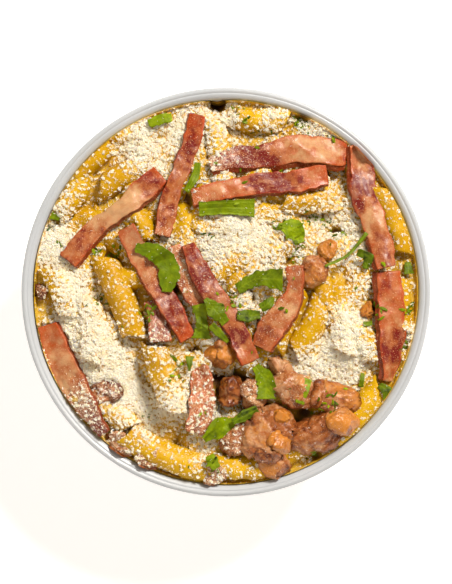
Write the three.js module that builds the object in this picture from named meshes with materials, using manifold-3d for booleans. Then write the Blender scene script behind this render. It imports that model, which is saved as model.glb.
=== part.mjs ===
// Pasta carbonara in a round paper bowl: a heap of short pasta tubes with grated cheese,
// strips of cooked ham, pieces of fried bacon and torn parsley leaves.
// Millimetres, +Z up. The origin is the centre of the foot ring's underside.
import * as THREE from "three";
import { mergeVertices } from "three/addons/utils/BufferGeometryUtils.js";
import Module from "manifold-3d";

const wasm = await Module();
wasm.setup();

// ---- driving dimensions ----

// The bowl
const rimRadius = 75;
const bowlHeight = 60;
const footRadius = 64;
const wallThickness = 0.9;
const rimRollRadius = 1.6;
const lipWidth = 1.2; // the sloping inside of the rim
const lipDrop = 2.6;
const floorLift = 6; // the floor disc stands this far above the foot
const footWidth = 1.8; // paper folded up inside the foot
const roundSides = 44; // sides of the bowl and of the heap, which stay in step

// The heap
const contactGap = 0.3; // between pieces that touch
const heapEdge = 56.6; // height of the food along the rim
const heapDome = 6.5; // how much higher the middle stands
const heapRings = 8;
const foodReach = 70; // the food ends here, just inside the wall

// The pasta
const pastaWall = 1.3;
const pastaSides = 8;
const pastaSlant = 0.55; // the ends are cut at a slant
const pastaBend = 1.1;
const mouthDepth = 5; // a tube's ends are open this far, the rest is closed by its filling

// The toppings
const hamThickness = 2.7;
const leafThickness = 0.55;
const gridCell = 0.6; // step of the height map that the toppings are laid on

// ---- small helpers ----

// A repeatable stream of numbers from 0 to 1.
function seededDraws(seed) {
  let state = seed;
  return () => {
    state = (Math.imul(state, 1664525) + 1013904223) >>> 0;
    return state / 4294967296;
  };
}

const mix = (a, b, t) => a + (b - a) * t;
const square = (value) => value * value;

// The value at t of a list of values that are spread evenly from t = 0 to t = 1.
function profileAt(values, t) {
  const place = t * (values.length - 1);
  const first = Math.min(Math.floor(place), values.length - 2);
  const ease = place - first;
  return mix(values[first], values[first + 1], ease * ease * (3 - 2 * ease));
}

// Only position is kept, so that vertices shared by neighbouring faces become one.
function welded(geometry) {
  geometry.deleteAttribute("normal");
  geometry.deleteAttribute("uv");
  return mergeVertices(geometry, 1e-4);
}

function moveVertices(geometry, move) {
  const places = geometry.getAttribute("position");
  const point = new THREE.Vector3();
  for (let i = 0; i < places.count; i++) {
    point.fromBufferAttribute(places, i);
    move(point);
    places.setXYZ(i, point.x, point.y, point.z);
  }
  return geometry;
}

function toSolid(geometry) {
  return new wasm.Manifold(
    new wasm.Mesh({
      numProp: 3,
      vertProperties: new Float32Array(geometry.getAttribute("position").array),
      triVerts: new Uint32Array(geometry.index.array),
    }),
  );
}

function fromSolid(solid) {
  const mesh = solid.getMesh();
  const geometry = new THREE.BufferGeometry();
  geometry.setAttribute("position", new THREE.BufferAttribute(mesh.vertProperties, 3));
  geometry.setIndex(new THREE.BufferAttribute(mesh.triVerts, 1));
  return geometry;
}

// ---- the bowl ----

// The wall leans outwards from the foot to just under the rim.
const wallTop = bowlHeight - lipDrop;
const wallTopRadius = rimRadius - 2 * rimRollRadius - lipWidth + wallThickness;
const outerWallAt = (z) => mix(footRadius, wallTopRadius, z / wallTop);
const innerWallAt = (z) => outerWallAt(z) - wallThickness;

// A profile of [radius, height] pairs, turned about +Z.
function turned(profile, sides) {
  const points = profile.map(([radius, height]) => new THREE.Vector2(radius, height));
  const geometry = welded(new THREE.LatheGeometry(points, sides));
  return geometry.rotateX(Math.PI / 2);
}

function bowlGeometry() {
  const floorTop = floorLift + wallThickness;
  const rollCentre = [rimRadius - rimRollRadius, bowlHeight - rimRollRadius];
  const roll = [];
  const rollSteps = 6;
  for (let i = 0; i <= rollSteps; i++) {
    const angle = mix(0.75, -0.6, i / rollSteps) * Math.PI;
    roll.push([
      rollCentre[0] + rimRollRadius * Math.cos(angle),
      rollCentre[1] + rimRollRadius * Math.sin(angle),
    ]);
  }
  const profile = [
    [0, floorLift],
    [outerWallAt(floorLift) - footWidth, floorLift],
    [footRadius - footWidth, 0],
    [footRadius, 0],
    [outerWallAt(wallTop), wallTop],
    ...roll.reverse(),
    [innerWallAt(wallTop), wallTop],
    [innerWallAt(floorTop), floorTop],
    [0, floorTop],
  ];
  return turned(profile, roundSides);
}

// ---- the heap's surface ----

// Drifts of cheese and buried pasta stand up, gaps between the pieces sink in.
const drifts = [
  { x: -47, y: -26, reach: 11, rise: 3.0 },
  { x: -58, y: 12, reach: 11, rise: 1.6 },
  { x: -34, y: 55, reach: 12, rise: 1.4 },
  { x: 7, y: 20, reach: 15, rise: 1.8 },
  { x: 40, y: -20, reach: 13, rise: 2.6 },
  { x: 26, y: 64, reach: 9, rise: 1.2 },
  { x: -14, y: -40, reach: 9, rise: 1.6 },
  { x: -31, y: -31, reach: 5, rise: -3.2 },
  { x: -3, y: 68.5, reach: 4, rise: -4.5 },
  { x: 3, y: -38, reach: 7, rise: -3.0 },
  { x: 4, y: -3, reach: 5, rise: -2.4 },
  { x: -27, y: 2, reach: 6, rise: -2.4 },
  { x: 44, y: 47, reach: 5, rise: -4.0 },
  { x: 35, y: 27, reach: 6, rise: -1.8 },
  { x: 54, y: 5, reach: 7, rise: -1.6 },
  { x: -62, y: -10, reach: 5, rise: -1.2 },
  { x: -56, y: 34, reach: 7, rise: -1.6 },
];

function heapHeight(x, y) {
  const out = Math.min(Math.hypot(x, y) / foodReach, 1);
  let height = heapEdge + heapDome * (1 - Math.pow(out, 2.4));
  for (const { x: midX, y: midY, reach, rise } of drifts) {
    const away = (square(x - midX) + square(y - midY)) / square(reach);
    height += rise * Math.exp(-away);
  }
  const calm = 1 - 0.6 * Math.pow(out, 6);
  height += 0.55 * calm * Math.sin(x * 0.31 + 1.3) * Math.cos(y * 0.27 - 0.4);
  height += 0.45 * calm * Math.sin(x * 0.17 - y * 0.23 + 2.1);
  return height;
}

// The body of the heap fills the bowl, a gap clear of its wall and floor.
function coreGeometry() {
  const bottom = floorLift + wallThickness + contactGap;
  const side = (z) => innerWallAt(z) - contactGap;
  const profile = [
    [0, bottom],
    [side(bottom), bottom],
    [side(heapEdge - 2), heapEdge - 2],
  ];
  for (let ring = heapRings; ring >= 0; ring--) {
    profile.push([foodReach * Math.pow(ring / heapRings, 0.75), bowlHeight]);
  }
  return moveVertices(turned(profile, roundSides), (point) => {
    if (point.z > bowlHeight - 0.01) point.z = heapHeight(point.x, point.y);
  });
}

// ---- pasta tubes ----

// Tubes that lie bare: both ends, how far the axis stands over the heap, and the width.
const bareTubes = [
  { from: [-44, 12], to: [-32.5, -17], lift: 1.6, wide: 9.6 },
  { from: [17.5, -21], to: [27, 1], lift: 1.4, wide: 9.8 },
  { from: [25, -22], to: [35, -4], lift: 1.0, wide: 9.2 },
  { from: [32, 12], to: [36.5, -6], lift: 1.4, wide: 7.4 },
  { from: [-35.5, 33], to: [-27, 18], lift: 1.0, wide: 7.6 },
  { from: [-38, -52], to: [-6, -66], lift: 1.6, wide: 10.2 },
  { from: [56, 38], to: [65, 14], lift: 0.8, wide: 9.4 },
  { from: [63.5, 5], to: [65.5, -15], lift: 0.6, wide: 8.4 },
  { from: [41, -53], to: [57, -34], lift: 1.2, wide: 10 },
  { from: [-56, 41], to: [-43, 53], lift: 1.2, wide: 9 },
  { from: [-62, 27], to: [-51, 45], lift: 0.6, wide: 8.6 },
  { from: [-46, 38], to: [-29, 46.5], lift: 1.0, wide: 9.4 },
  { from: [-64, 8], to: [-57, -9], lift: 0.4, wide: 8.8 },
  { from: [-6, -63], to: [17, -63.5], lift: 0.8, wide: 9.4 },
  { from: [19, -61], to: [38, -52], lift: 0.8, wide: 9.2 },
  { from: [-27, -19], to: [-19, -43], lift: 2.2, wide: 9.4 },
  { from: [2, 64], to: [22, 63], lift: 0.6, wide: 8.8 },
  { from: [-52, -38], to: [-34, -50], lift: 1.0, wide: 9.2 },
  { from: [-10, 26], to: [10, 22], lift: 0.8, wide: 9 },
  { from: [20, 33], to: [39, 33], lift: 0.8, wide: 8.8 },
  { from: [46, -12], to: [54, -25], lift: 0.8, wide: 8.6 },
  { from: [-42, 58], to: [-21, 62], lift: 0.7, wide: 9 },
];

// More tubes lie half buried between those, wherever there is room for one.
const buriedTubes = { wanted: 12, tries: 900, apart: 10.5, longest: 34, shortest: 24, wide: 9.2 };

function segmentDistance(point, tube) {
  const along = [tube.to[0] - tube.from[0], tube.to[1] - tube.from[1]];
  const off = [point[0] - tube.from[0], point[1] - tube.from[1]];
  const run = square(along[0]) + square(along[1]);
  const t = Math.min(Math.max((off[0] * along[0] + off[1] * along[1]) / run, 0), 1);
  return Math.hypot(off[0] - t * along[0], off[1] - t * along[1]);
}

function scatteredTubes(laid) {
  const draw = seededDraws(41);
  const tubes = [];
  for (let i = 0; i < buriedTubes.tries && tubes.length < buriedTubes.wanted; i++) {
    const around = draw() * 2 * Math.PI;
    const out = Math.sqrt(draw()) * 62;
    const heading = draw() * Math.PI;
    const half = mix(buriedTubes.shortest, buriedTubes.longest, draw()) / 2;
    const lift = mix(-2.2, -0.6, draw());
    const middle = [out * Math.cos(around), out * Math.sin(around)];
    const reach = [half * Math.cos(heading), half * Math.sin(heading)];
    const from = [middle[0] - reach[0], middle[1] - reach[1]];
    const to = [middle[0] + reach[0], middle[1] + reach[1]];
    const outside = Math.max(Math.hypot(...from), Math.hypot(...to)) > 65;
    const crowded = [...laid, ...tubes].some(
      (tube) => segmentDistance(middle, tube) < buriedTubes.apart,
    );
    if (outside || crowded) continue;
    tubes.push({ from, to, lift, wide: buriedTubes.wide, buried: true });
  }
  return tubes;
}

// A tube with slanted ends and a slight bend, its axis along +X and its middle at 0.
// A buried one is closed, as its mouths don't show.
function tubeGeometry(length, wide, buried) {
  const outer = wide / 2;
  const inner = outer - pastaWall;
  const bend = [outer, length / 2];
  const wall = [[outer, 0], ...(buried ? [] : [bend]), [outer, length]];
  const nearMouth = [
    [0, mouthDepth],
    [inner, mouthDepth],
    [inner, 0],
  ];
  const farMouth = [
    [inner, length],
    [inner, length - mouthDepth],
    [0, length - mouthDepth],
  ];
  const profile = buried ? [[0, 0], ...wall, [0, length]] : [...nearMouth, ...wall, ...farMouth];
  const points = profile.map(([radius, height]) => new THREE.Vector2(radius, height));
  const geometry = welded(new THREE.LatheGeometry(points, pastaSides));
  geometry.translate(0, -length / 2, 0);
  geometry.rotateZ(-Math.PI / 2);
  return moveVertices(geometry, (point) => {
    point.x += pastaSlant * point.y;
    point.z -= pastaBend * square((2 * point.x) / length);
  });
}

function laidTube({ from, to, lift, wide, buried }, roll) {
  const start = new THREE.Vector3(...from, heapHeight(...from) + lift);
  const end = new THREE.Vector3(...to, heapHeight(...to) + lift);
  const along = end.clone().sub(start).normalize();
  const across = new THREE.Vector3(0, 0, 1).cross(along).normalize();
  const up = along.clone().cross(across);
  const place = new THREE.Matrix4().makeBasis(along, across, up);
  place.setPosition(start.clone().add(end).multiplyScalar(0.5));
  const tube = tubeGeometry(start.distanceTo(end), wide, buried);
  tube.rotateX(roll);
  return tube.applyMatrix4(place);
}

// The space that the food may fill: the bowl's inside, and straight up above it.
function roomGeometry() {
  const bottom = floorLift + wallThickness + contactGap;
  const profile = [
    [0, bottom],
    [innerWallAt(bottom) - contactGap, bottom],
    [innerWallAt(heapEdge - 2) - contactGap, heapEdge - 2],
    [foodReach, heapEdge],
    [foodReach, 2 * bowlHeight],
    [0, 2 * bowlHeight],
  ];
  return turned(profile, roundSides);
}

function heapGeometry() {
  const draw = seededDraws(7);
  const tubes = [...bareTubes, ...scatteredTubes(bareTubes)];
  let heap = toSolid(coreGeometry());
  for (const tube of tubes) {
    const roll = mix(-0.9, 0.9, draw());
    heap = heap.add(toSolid(laidTube(tube, roll)));
  }
  heap = heap.intersect(toSolid(roomGeometry()));
  // The largest part is the heap. What else there is, is a sealed hollow or a loose scrap.
  const parts = heap.decompose().sort((a, b) => b.volume() - a.volume());
  return fromSolid(parts[0]);
}

// ---- the height map that toppings are laid on ----

const gridSide = Math.ceil((2 * rimRadius) / gridCell) + 1;
const heights = new Float32Array(gridSide * gridSide).fill(-Infinity);
const cellOf = (value) => Math.round((value + rimRadius) / gridCell);
const inGrid = (cell) => cell >= 0 && cell < gridSide;

function raiseCell(column, row, z) {
  if (!inGrid(column) || !inGrid(row)) return;
  const cell = row * gridSide + column;
  heights[cell] = Math.max(heights[cell], z);
}

// Marks the top of a piece on the map, triangle by triangle.
function layOnMap(geometry) {
  const places = geometry.getAttribute("position");
  const corners = geometry.index.array;
  const [a, b, c] = [new THREE.Vector3(), new THREE.Vector3(), new THREE.Vector3()];
  for (let i = 0; i < corners.length; i += 3) {
    [a, b, c].forEach((corner, k) => corner.fromBufferAttribute(places, corners[i + k]));
    [a, b, c].forEach((corner) => raiseCell(cellOf(corner.x), cellOf(corner.y), corner.z));
    const area = (b.x - a.x) * (c.y - a.y) - (c.x - a.x) * (b.y - a.y);
    if (area < 1e-6) continue; // it faces down or stands upright
    const firstColumn = cellOf(Math.min(a.x, b.x, c.x));
    const lastColumn = cellOf(Math.max(a.x, b.x, c.x));
    const firstRow = cellOf(Math.min(a.y, b.y, c.y));
    const lastRow = cellOf(Math.max(a.y, b.y, c.y));
    for (let row = firstRow; row <= lastRow; row++) {
      for (let column = firstColumn; column <= lastColumn; column++) {
        const x = column * gridCell - rimRadius;
        const y = row * gridCell - rimRadius;
        const shareB = ((x - a.x) * (c.y - a.y) - (c.x - a.x) * (y - a.y)) / area;
        const shareC = ((b.x - a.x) * (y - a.y) - (x - a.x) * (b.y - a.y)) / area;
        if (shareB < 0 || shareC < 0 || shareB + shareC > 1) continue;
        raiseCell(column, row, a.z + shareB * (b.z - a.z) + shareC * (c.z - a.z));
      }
    }
  }
}

function highestNear(x, y, reach) {
  const cells = Math.ceil(reach / gridCell);
  const [midColumn, midRow] = [cellOf(x), cellOf(y)];
  let highest = -Infinity;
  for (let row = midRow - cells; row <= midRow + cells; row++) {
    for (let column = midColumn - cells; column <= midColumn + cells; column++) {
      if (!inGrid(row) || !inGrid(column)) continue;
      if (Math.hypot(row - midRow, column - midColumn) > cells) continue;
      highest = Math.max(highest, heights[row * gridSide + column]);
    }
  }
  return highest;
}

// Food other than what climbs onto the rim stays inside the wall.
function keptInside(x, y, limit) {
  const out = Math.hypot(x, y);
  const scale = out > limit ? limit / out : 1;
  return [x * scale, y * scale];
}

// ---- strips and leaves ----

// A flexible band along a path of [x, y] points, laid on what is under it: it bridges the
// gaps and hangs a little between its supports. Widths are spread evenly along the path.
function bandGeometry(band) {
  const { path, widths, thickness, rows, columns } = band;
  const limit = band.overRim ? rimRadius : foodReach;
  const line = new THREE.CatmullRomCurve3(
    path.map(([x, y]) => new THREE.Vector3(x, y, 0)),
    false,
    "centripetal",
  );
  const reach = band.reach ?? 1.6;
  const spots = [];
  for (let i = 0; i <= rows; i++) {
    const t = i / rows;
    const middle = line.getPointAt(t);
    const heading = line.getTangentAt(t);
    const toothed = band.teeth && i % 2 === 1 ? 1 - band.teeth : 1;
    const width = profileAt(widths, t) * toothed;
    const spread = [];
    for (let j = 0; j <= columns; j++) {
      const aside = (j / columns - 0.5) * width;
      const x = middle.x - heading.y * aside;
      const y = middle.y + heading.x * aside;
      const [keptX, keptY] = keptInside(x, y, limit);
      const wave = (band.wave ?? 0) * (1 + Math.sin(2.1 * i + 1.7 * j + (band.phase ?? 0)));
      const floor = highestNear(keptX, keptY, reach) + contactGap + wave;
      spread.push({ x: keptX, y: keptY, floor, z: floor });
    }
    spots.push(spread);
  }
  settle(spots, band.droop ?? 0.12);
  return moveVertices(bandBlank(rows, columns), (point) => {
    const i = Math.round((point.x + 0.5) * rows);
    const j = Math.round((point.y + 0.5) * columns);
    const spot = spots[i][j];
    const atEdge = j === 0 || j === columns || i === 0 || i === rows;
    const edge = atEdge ? (band.edgeShare ?? 0.72) : 1;
    const raised = thickness * (point.z > 0 ? (1 + edge) / 2 : (1 - edge) / 2);
    point.set(spot.x, spot.y, spot.z + raised);
  });
}

// A unit block split into rows and columns. Its underside is split like its top, so that
// the two faces stay one thickness apart however the band twists.
function bandBlank(rows, columns) {
  const block = new THREE.BoxGeometry(1, 1, 1, rows, columns, 1);
  const underside = block.groups[5];
  const corners = block.index.array;
  for (let i = underside.start; i < underside.start + underside.count; i += 6) {
    const [a, b, d, , c] = corners.slice(i, i + 6);
    corners.set([a, b, c, a, c, d], i);
  }
  return welded(block);
}

// Stiffness: each spot takes the mean of its neighbours unless what is under it is higher.
function settle(spots, droop) {
  const last = spots.length - 1;
  const passes = 60;
  for (let pass = 0; pass < passes; pass++) {
    for (let i = 0; i <= last; i++) {
      const row = spots[i];
      for (let j = 0; j < row.length; j++) {
        const before = spots[Math.max(i - 1, 0)][j].z;
        const after = spots[Math.min(i + 1, last)][j].z;
        const left = row[Math.max(j - 1, 0)].z;
        const right = row[Math.min(j + 1, row.length - 1)].z;
        const mean = 0.35 * (before + after) + 0.15 * (left + right);
        row[j].z = Math.max(row[j].floor, mean - droop);
      }
    }
  }
}

// ---- pieces of fried bacon ----

// An uneven lump with flattened sides, seated on what is under it.
function lumpGeometry({ at, size, turn, seed, fine = 1, square: boxy = 0.75 }) {
  const [length, width, height] = size;
  const lump = welded(new THREE.IcosahedronGeometry(1, fine));
  const [cos, sin] = [Math.cos(turn), Math.sin(turn)];
  const bulge = (value) => Math.sign(value) * Math.pow(Math.abs(value), boxy);
  const placeOf = (x, y) => {
    const along = (length / 2) * x;
    const aside = (width / 2) * y;
    return keptInside(
      at[0] + along * cos - aside * sin,
      at[1] + along * sin + aside * cos,
      foodReach,
    );
  };
  const floorAt = (x, y) => highestNear(x, y, 1.8) + contactGap;
  const feet = [-0.6, 0, 0.6].flatMap((x) => [-0.6, 0, 0.6].map((y) => floorAt(...placeOf(x, y))));
  const rest = feet.reduce((sum, foot) => sum + foot, 0) / feet.length;
  return moveVertices(lump, (point) => {
    const { x: dirX, y: dirY, z: dirZ } = point;
    const rough = Math.sin(4.1 * dirX + seed) + Math.sin(4.7 * dirY - 2 * seed + 3.3 * dirZ);
    const swell = 1 + 0.07 * rough;
    const [x, y] = placeOf(bulge(dirX) * swell, bulge(dirY) * swell);
    const floor = floorAt(x, y);
    if (dirZ < -0.2) {
      point.set(x, y, floor);
      return;
    }
    const share = 0.2 + 0.8 * bulge(Math.max(dirZ, 0)) + 0.06 * rough;
    point.set(x, y, Math.max(rest + height * share, floor + 0.25 * height * (0.4 + share)));
  });
}

// ---- colours ----

const paperWhite = new THREE.MeshStandardMaterial({ color: 0xe6e4de, roughness: 0.4 });
const pastaYellow = new THREE.MeshStandardMaterial({ color: 0xeccb7a, roughness: 0.5 });
const hamPink = new THREE.MeshStandardMaterial({ color: 0xc87b5c, roughness: 0.4 });
const baconBrown = new THREE.MeshStandardMaterial({ color: 0xa65f33, roughness: 0.45 });
const parsleyGreen = new THREE.MeshStandardMaterial({ color: 0x6f9a1c, roughness: 0.5 });
for (const material of [paperWhite, pastaYellow, hamPink, baconBrown, parsleyGreen]) {
  material.metalness = 0;
}

// ---- the pieces, from the lowest to the highest ----

const dish = new THREE.Group();

function addNode(name, geometry, material) {
  const mesh = new THREE.Mesh(geometry, material);
  mesh.name = name;
  dish.add(mesh);
  layOnMap(geometry);
}

// Pieces of fried bacon: middle, length by width by height, and heading.
const lowLumps = [
  { at: [-66.5, 0.5], size: [7, 5.5, 3.4], turn: 1.5, seed: 1 },
  { at: [-38.5, -55], size: [12, 8, 3.2], turn: -0.5, seed: 2 },
  { at: [-28.5, -60], size: [11, 6.5, 3], turn: -0.5, seed: 3 },
  { at: [-4, -66], size: [10, 7, 3.4], turn: 0.5, seed: 4 },
  { at: [-44, -37], size: [12, 8, 3], turn: 0.3, seed: 5 },
  { at: [-1.5, -22.3], size: [10, 10, 5], turn: 0.7, seed: 6 },
  { at: [17, -62.8], size: [12.5, 9, 4.5], turn: 0.3, seed: 7 },
  { at: [2.2, -36], size: [12.5, 8, 5.5], turn: 1.7, seed: 8 },
  { at: [9.6, -37.2], size: [11, 5.5, 4], turn: 1.9, seed: 9 },
  { at: [6.5, -51], size: [19, 6, 3.5], turn: 0.95, seed: 10 },
  { at: [19.5, -27.2], size: [7.5, 5, 3], turn: -0.5, seed: 11 },
  { at: [25, -35.5], size: [15, 9.5, 4.2], turn: -0.6, seed: 12 },
  { at: [34, -51], size: [24, 9, 4.6], turn: 0.35, seed: 13, fine: 2 },
  { at: [39.5, -39.2], size: [19, 8.5, 4.2], turn: -0.3, seed: 14 },
  { at: [15.5, -51.5], size: [20, 14.5, 5.4], turn: 0.9, seed: 15, fine: 2 },
  { at: [41.5, -47.2], size: [8.5, 7, 4], turn: -0.5, seed: 16 },
  { at: [20, -45.8], size: [6, 6.4, 3.4], turn: 0.1, seed: 17, square: 0.5 },
  { at: [18.8, -54], size: [7.4, 7.6, 3.4], turn: -0.1, seed: 18, square: 0.5 },
  { at: [36.6, 15.5], size: [8, 7, 4], turn: -0.3, seed: 19 },
  { at: [31.6, 7.4], size: [11.5, 8, 4.4], turn: 1.2, seed: 20 },
  { at: [52, -6.4], size: [8, 4.8, 3.2], turn: 1.35, seed: 21 },
];

// Strips of ham: their path, and their widths along it.
const strips = [
  { path: [[-19, 17], [-16, 9], [-12, 1], [-8, -6]], widths: [4, 6, 7, 6] },
  { path: [[-27, -3], [-24.5, -10.5], [-24, -18]], widths: [6, 7.4, 7] },
  { path: [[24, 9.5], [24.5, 0.5], [21.5, -6], [16, -12.5], [12.5, -20.5]], widths: [6.5, 6, 8.5, 10, 7] },
  { path: [[-10, -27], [-8.5, -36], [-9.5, -44], [-11.5, -52]], widths: [7, 9.5, 9.5, 7] },
  { path: [[-36.5, 23.5], [-31.5, 14.5], [-25.5, 3.5], [-19.5, -5.5], [-13.5, -17]], widths: [6.5, 8, 8.4, 8, 6] },
  { path: [[-13.5, 17.5], [-8.5, 6], [-1.5, -5], [4.5, -15], [9, -25.5]], widths: [5.5, 8.6, 8.4, 7.4, 7] },
  { path: [[-58, 11.5], [-47, 24.5], [-35.5, 33], [-24, 43]], widths: [7.6, 7.8, 6.8, 9, 7] },
  { path: [[-10.5, 64.5], [-12.5, 54.5], [-18, 40.5], [-21.5, 28], [-23, 20.5]], widths: [6, 6.4, 6, 7.2, 6] },
  { path: [[-6, 46.5], [2, 49], [13, 50.5], [27, 52.4], [44, 50.5]], widths: [6.5, 9, 10, 10, 9] },
  { path: [[-12.5, 34.5], [0, 37.7], [13, 39.7], [26.5, 41], [37, 42.8]], widths: [6.5, 7.4, 7.8, 8.8, 7.4] },
  { path: [[59.5, 7.5], [60, -2.5], [61, -15], [61, -25], [60, -32.6]], widths: [7.5, 8.6, 9, 9, 6] },
  {
    path: [[47, 53.5], [49.4, 45.5], [50.5, 37.5], [53.4, 29], [56.7, 19], [59, 9]],
    widths: [5, 8.4, 8.2, 7.2, 8, 7.4],
    overRim: true,
  },
  { path: [[-65, -12], [-62.5, -20], [-57, -32.5], [-50.5, -43], [-44.5, -51.5]], widths: [6, 8, 8.6, 7, 4] },
];
const hamRowStep = 4.4; // millimetres between the rows of a strip

// Parsley leaves: the midrib's path, and the widths along it.
const leaves = [
  { path: [[-33, 16], [-27, 15], [-21, 10], [-21.5, 0]], widths: [3, 7, 8, 9, 4], big: true },
  { path: [[-9.8, 30.2], [0.7, 30.8], [10.4, 30.6]], widths: [5.5, 5.5, 7], big: true },
  { path: [[19, 24.2], [25, 22.4], [27, 17.8]], widths: [2, 8.5, 4], big: true },
  { path: [[4.2, 1], [11, 4.8], [20.6, 4.6]], widths: [4.5, 6, 8.5], big: true },
  { path: [[-10, -4.5], [-8.8, -10], [-9.2, -17]], widths: [6, 4, 7.5], big: true },
  { path: [[-7.6, -2.5], [-3.8, -6.6], [0, -11.2]], widths: [2, 6.5, 3.5], big: true },
  { path: [[-5.5, -12], [-3, -14.6], [0.7, -18.2]], widths: [3, 3.4, 1.2] },
  { path: [[4, -8.4], [8, -8.8], [12.4, -8.1]], widths: [3, 5, 3] },
  { path: [[12.6, -6], [14.6, -4.8], [17.2, -2]], widths: [3.5, 4.4, 2] },
  { path: [[10.8, -27], [14.5, -32.5], [14.5, -39]], widths: [3.5, 7.5, 7], big: true },
  { path: [[30, -31.6], [28.4, -36], [26.7, -40.6]], widths: [3, 3.8, 3.4] },
  { path: [[-8, -54], [-2.6, -50], [5.2, -47.5]], widths: [2.5, 8.5, 3], big: true },
  { path: [[2.4, -47.4], [7, -45], [11.5, -42.6]], widths: [2, 5, 3] },
  { path: [[-6.2, -59.6], [-5, -62], [-3.4, -64.4]], widths: [3.4, 5, 3] },
  { path: [[36, 9.4], [44.4, 13.4], [49, 18.6], [51.4, 21.6]], widths: [0.9, 1.1, 1.2, 1.6], slim: true },
  { path: [[47.9, 14.6], [52, 13], [50.9, 8.4]], widths: [2.5, 4.4, 2.5] },
  { path: [[66.6, 11], [67, 6.6]], widths: [2.4, 4] },
  { path: [[-28.4, 61.6], [-24.2, 63], [-19.8, 64]], widths: [3, 4.4, 3.4] },
  { path: [[-10.3, 47.2], [-11, 42.5], [-14.6, 36.6]], widths: [2.4, 3.4, 2.2] },
  { path: [[-64.6, 28.4], [-61, 26.6]], widths: [3.6, 1.4] },
  { path: [[-13.2, -23.4], [-13.4, -28.8]], widths: [3.2, 1] },
  { path: [[50.1, -29.7], [49.4, -34.8]], widths: [1.6, 2] },
  { path: [[56, -33.9], [58.6, -36], [58.4, -39.6]], widths: [2, 4.6, 2.4] },
  { path: [[50.1, -11.8], [53.4, -11.4]], widths: [2.2, 2] },
];

const pathLength = (path) =>
  path.slice(1).reduce((sum, [x, y], i) => sum + Math.hypot(x - path[i][0], y - path[i][1]), 0);
const numbered = (stem, index) => `${stem}_${String(index + 1).padStart(2, "0")}`;

addNode("bowl", bowlGeometry(), paperWhite);
addNode("pasta_heap", heapGeometry(), pastaYellow);
lowLumps.forEach((lump, index) => {
  addNode(numbered("bacon_piece", index), lumpGeometry(lump), baconBrown);
});
strips.forEach((strip, index) => {
  const rows = Math.round(pathLength(strip.path) / hamRowStep);
  const band = { ...strip, thickness: hamThickness, rows, columns: 3 };
  addNode(numbered("ham_strip", index), bandGeometry(band), hamPink);
});
leaves.forEach((leaf, index) => {
  const form = leaf.big
    ? { rows: 8, columns: 4, teeth: 0.14, wave: 0.3 }
    : { rows: leaf.slim ? 7 : 4, columns: 2, teeth: leaf.slim ? 0 : 0.14, wave: 0.2 };
  const band = {
    ...leaf,
    ...form,
    thickness: leafThickness,
    phase: index,
    reach: 1.2,
    droop: 0.05,
    edgeShare: 1,
  };
  addNode(numbered("parsley", index), bandGeometry(band), parsleyGreen);
});

export default dish;
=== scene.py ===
import math

import bmesh
import bpy
import numpy as np
from mathutils import Matrix, Vector, noise
from mathutils.bvhtree import BVHTree


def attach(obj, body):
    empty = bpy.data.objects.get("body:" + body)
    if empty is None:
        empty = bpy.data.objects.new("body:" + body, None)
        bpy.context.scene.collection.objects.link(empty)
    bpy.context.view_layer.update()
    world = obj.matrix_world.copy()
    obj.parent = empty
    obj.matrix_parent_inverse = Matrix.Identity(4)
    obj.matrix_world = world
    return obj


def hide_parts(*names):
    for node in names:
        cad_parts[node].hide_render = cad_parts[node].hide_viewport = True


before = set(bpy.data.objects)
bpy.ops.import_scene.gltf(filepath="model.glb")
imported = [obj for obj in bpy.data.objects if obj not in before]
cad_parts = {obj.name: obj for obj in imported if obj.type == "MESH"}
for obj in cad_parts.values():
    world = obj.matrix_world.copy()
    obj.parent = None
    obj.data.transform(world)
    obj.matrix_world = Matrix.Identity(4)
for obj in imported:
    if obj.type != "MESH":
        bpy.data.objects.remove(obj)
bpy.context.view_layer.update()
mm = 0.001
print("frame loaded:", len(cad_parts), "nodes")


# Helpers for meshes. All lengths are in millimetres, and become metres when they are written.

refining = {"weld": 1e-6, "pairAngle": 40, "pairShape": 60, "sharpFrom": 50}


def vectorsOf(mesh, field):
    values = np.empty(len(mesh.vertices) * 3)
    mesh.vertices.foreach_get(field, values)
    return values.reshape(-1, 3)


def coordsOf(mesh):
    return vectorsOf(mesh, "co") / mm


def outOf(points):
    return np.hypot(points[:, 0], points[:, 1])


def setCoords(mesh, points):
    mesh.vertices.foreach_set("co", (points * mm).ravel())
    mesh.update()


def mark(mesh, name, values):
    layer = mesh.attributes.new(name, "FLOAT", "POINT")
    layer.data.foreach_set("value", np.asarray(values, dtype=np.float32))


def noiseAt(points, size, octaves=2, shift=0.0):
    move = Vector((shift, 0.7 * shift, -shift))
    return np.array([noise.fractal(Vector(p) / size + move, 1.0, 2.0, octaves) for p in points])


def ease(values, low, high):
    share = np.clip((np.asarray(values) - low) / (high - low), 0, 1)
    return share * share * (3 - 2 * share)


def link(name, data):
    made = bpy.data.objects.new(name, data)
    bpy.context.collection.objects.link(made)
    return made


def asPiece(name, mesh, finish, slotName, *nodes):
    mesh.name = name
    mesh.shade_smooth()
    mesh.materials.clear()
    mesh.materials.append(finish)
    piece = link(name, mesh)
    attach(piece, "root")
    if nodes:
        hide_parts(*nodes)
    return piece


def meshFrom(bm):
    mesh = bpy.data.meshes.new("made")
    bm.to_mesh(mesh)
    bm.free()
    return mesh


# An outline turned around an axis
def spun(outline, axis, steps, closed=False):
    bm = bmesh.new()
    line = [bm.verts.new(point) for point in outline]
    for pair in zip(line, line[1:] + (line[:1] if closed else [])):
        bm.edges.new(pair)
    bmesh.ops.spin(bm, geom=bm.verts[:] + bm.edges[:], cent=(0, 0, 0), axis=axis, dvec=(0, 0, 0),
                   angle=math.tau, steps=steps, use_merge=True)
    return bm


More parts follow.
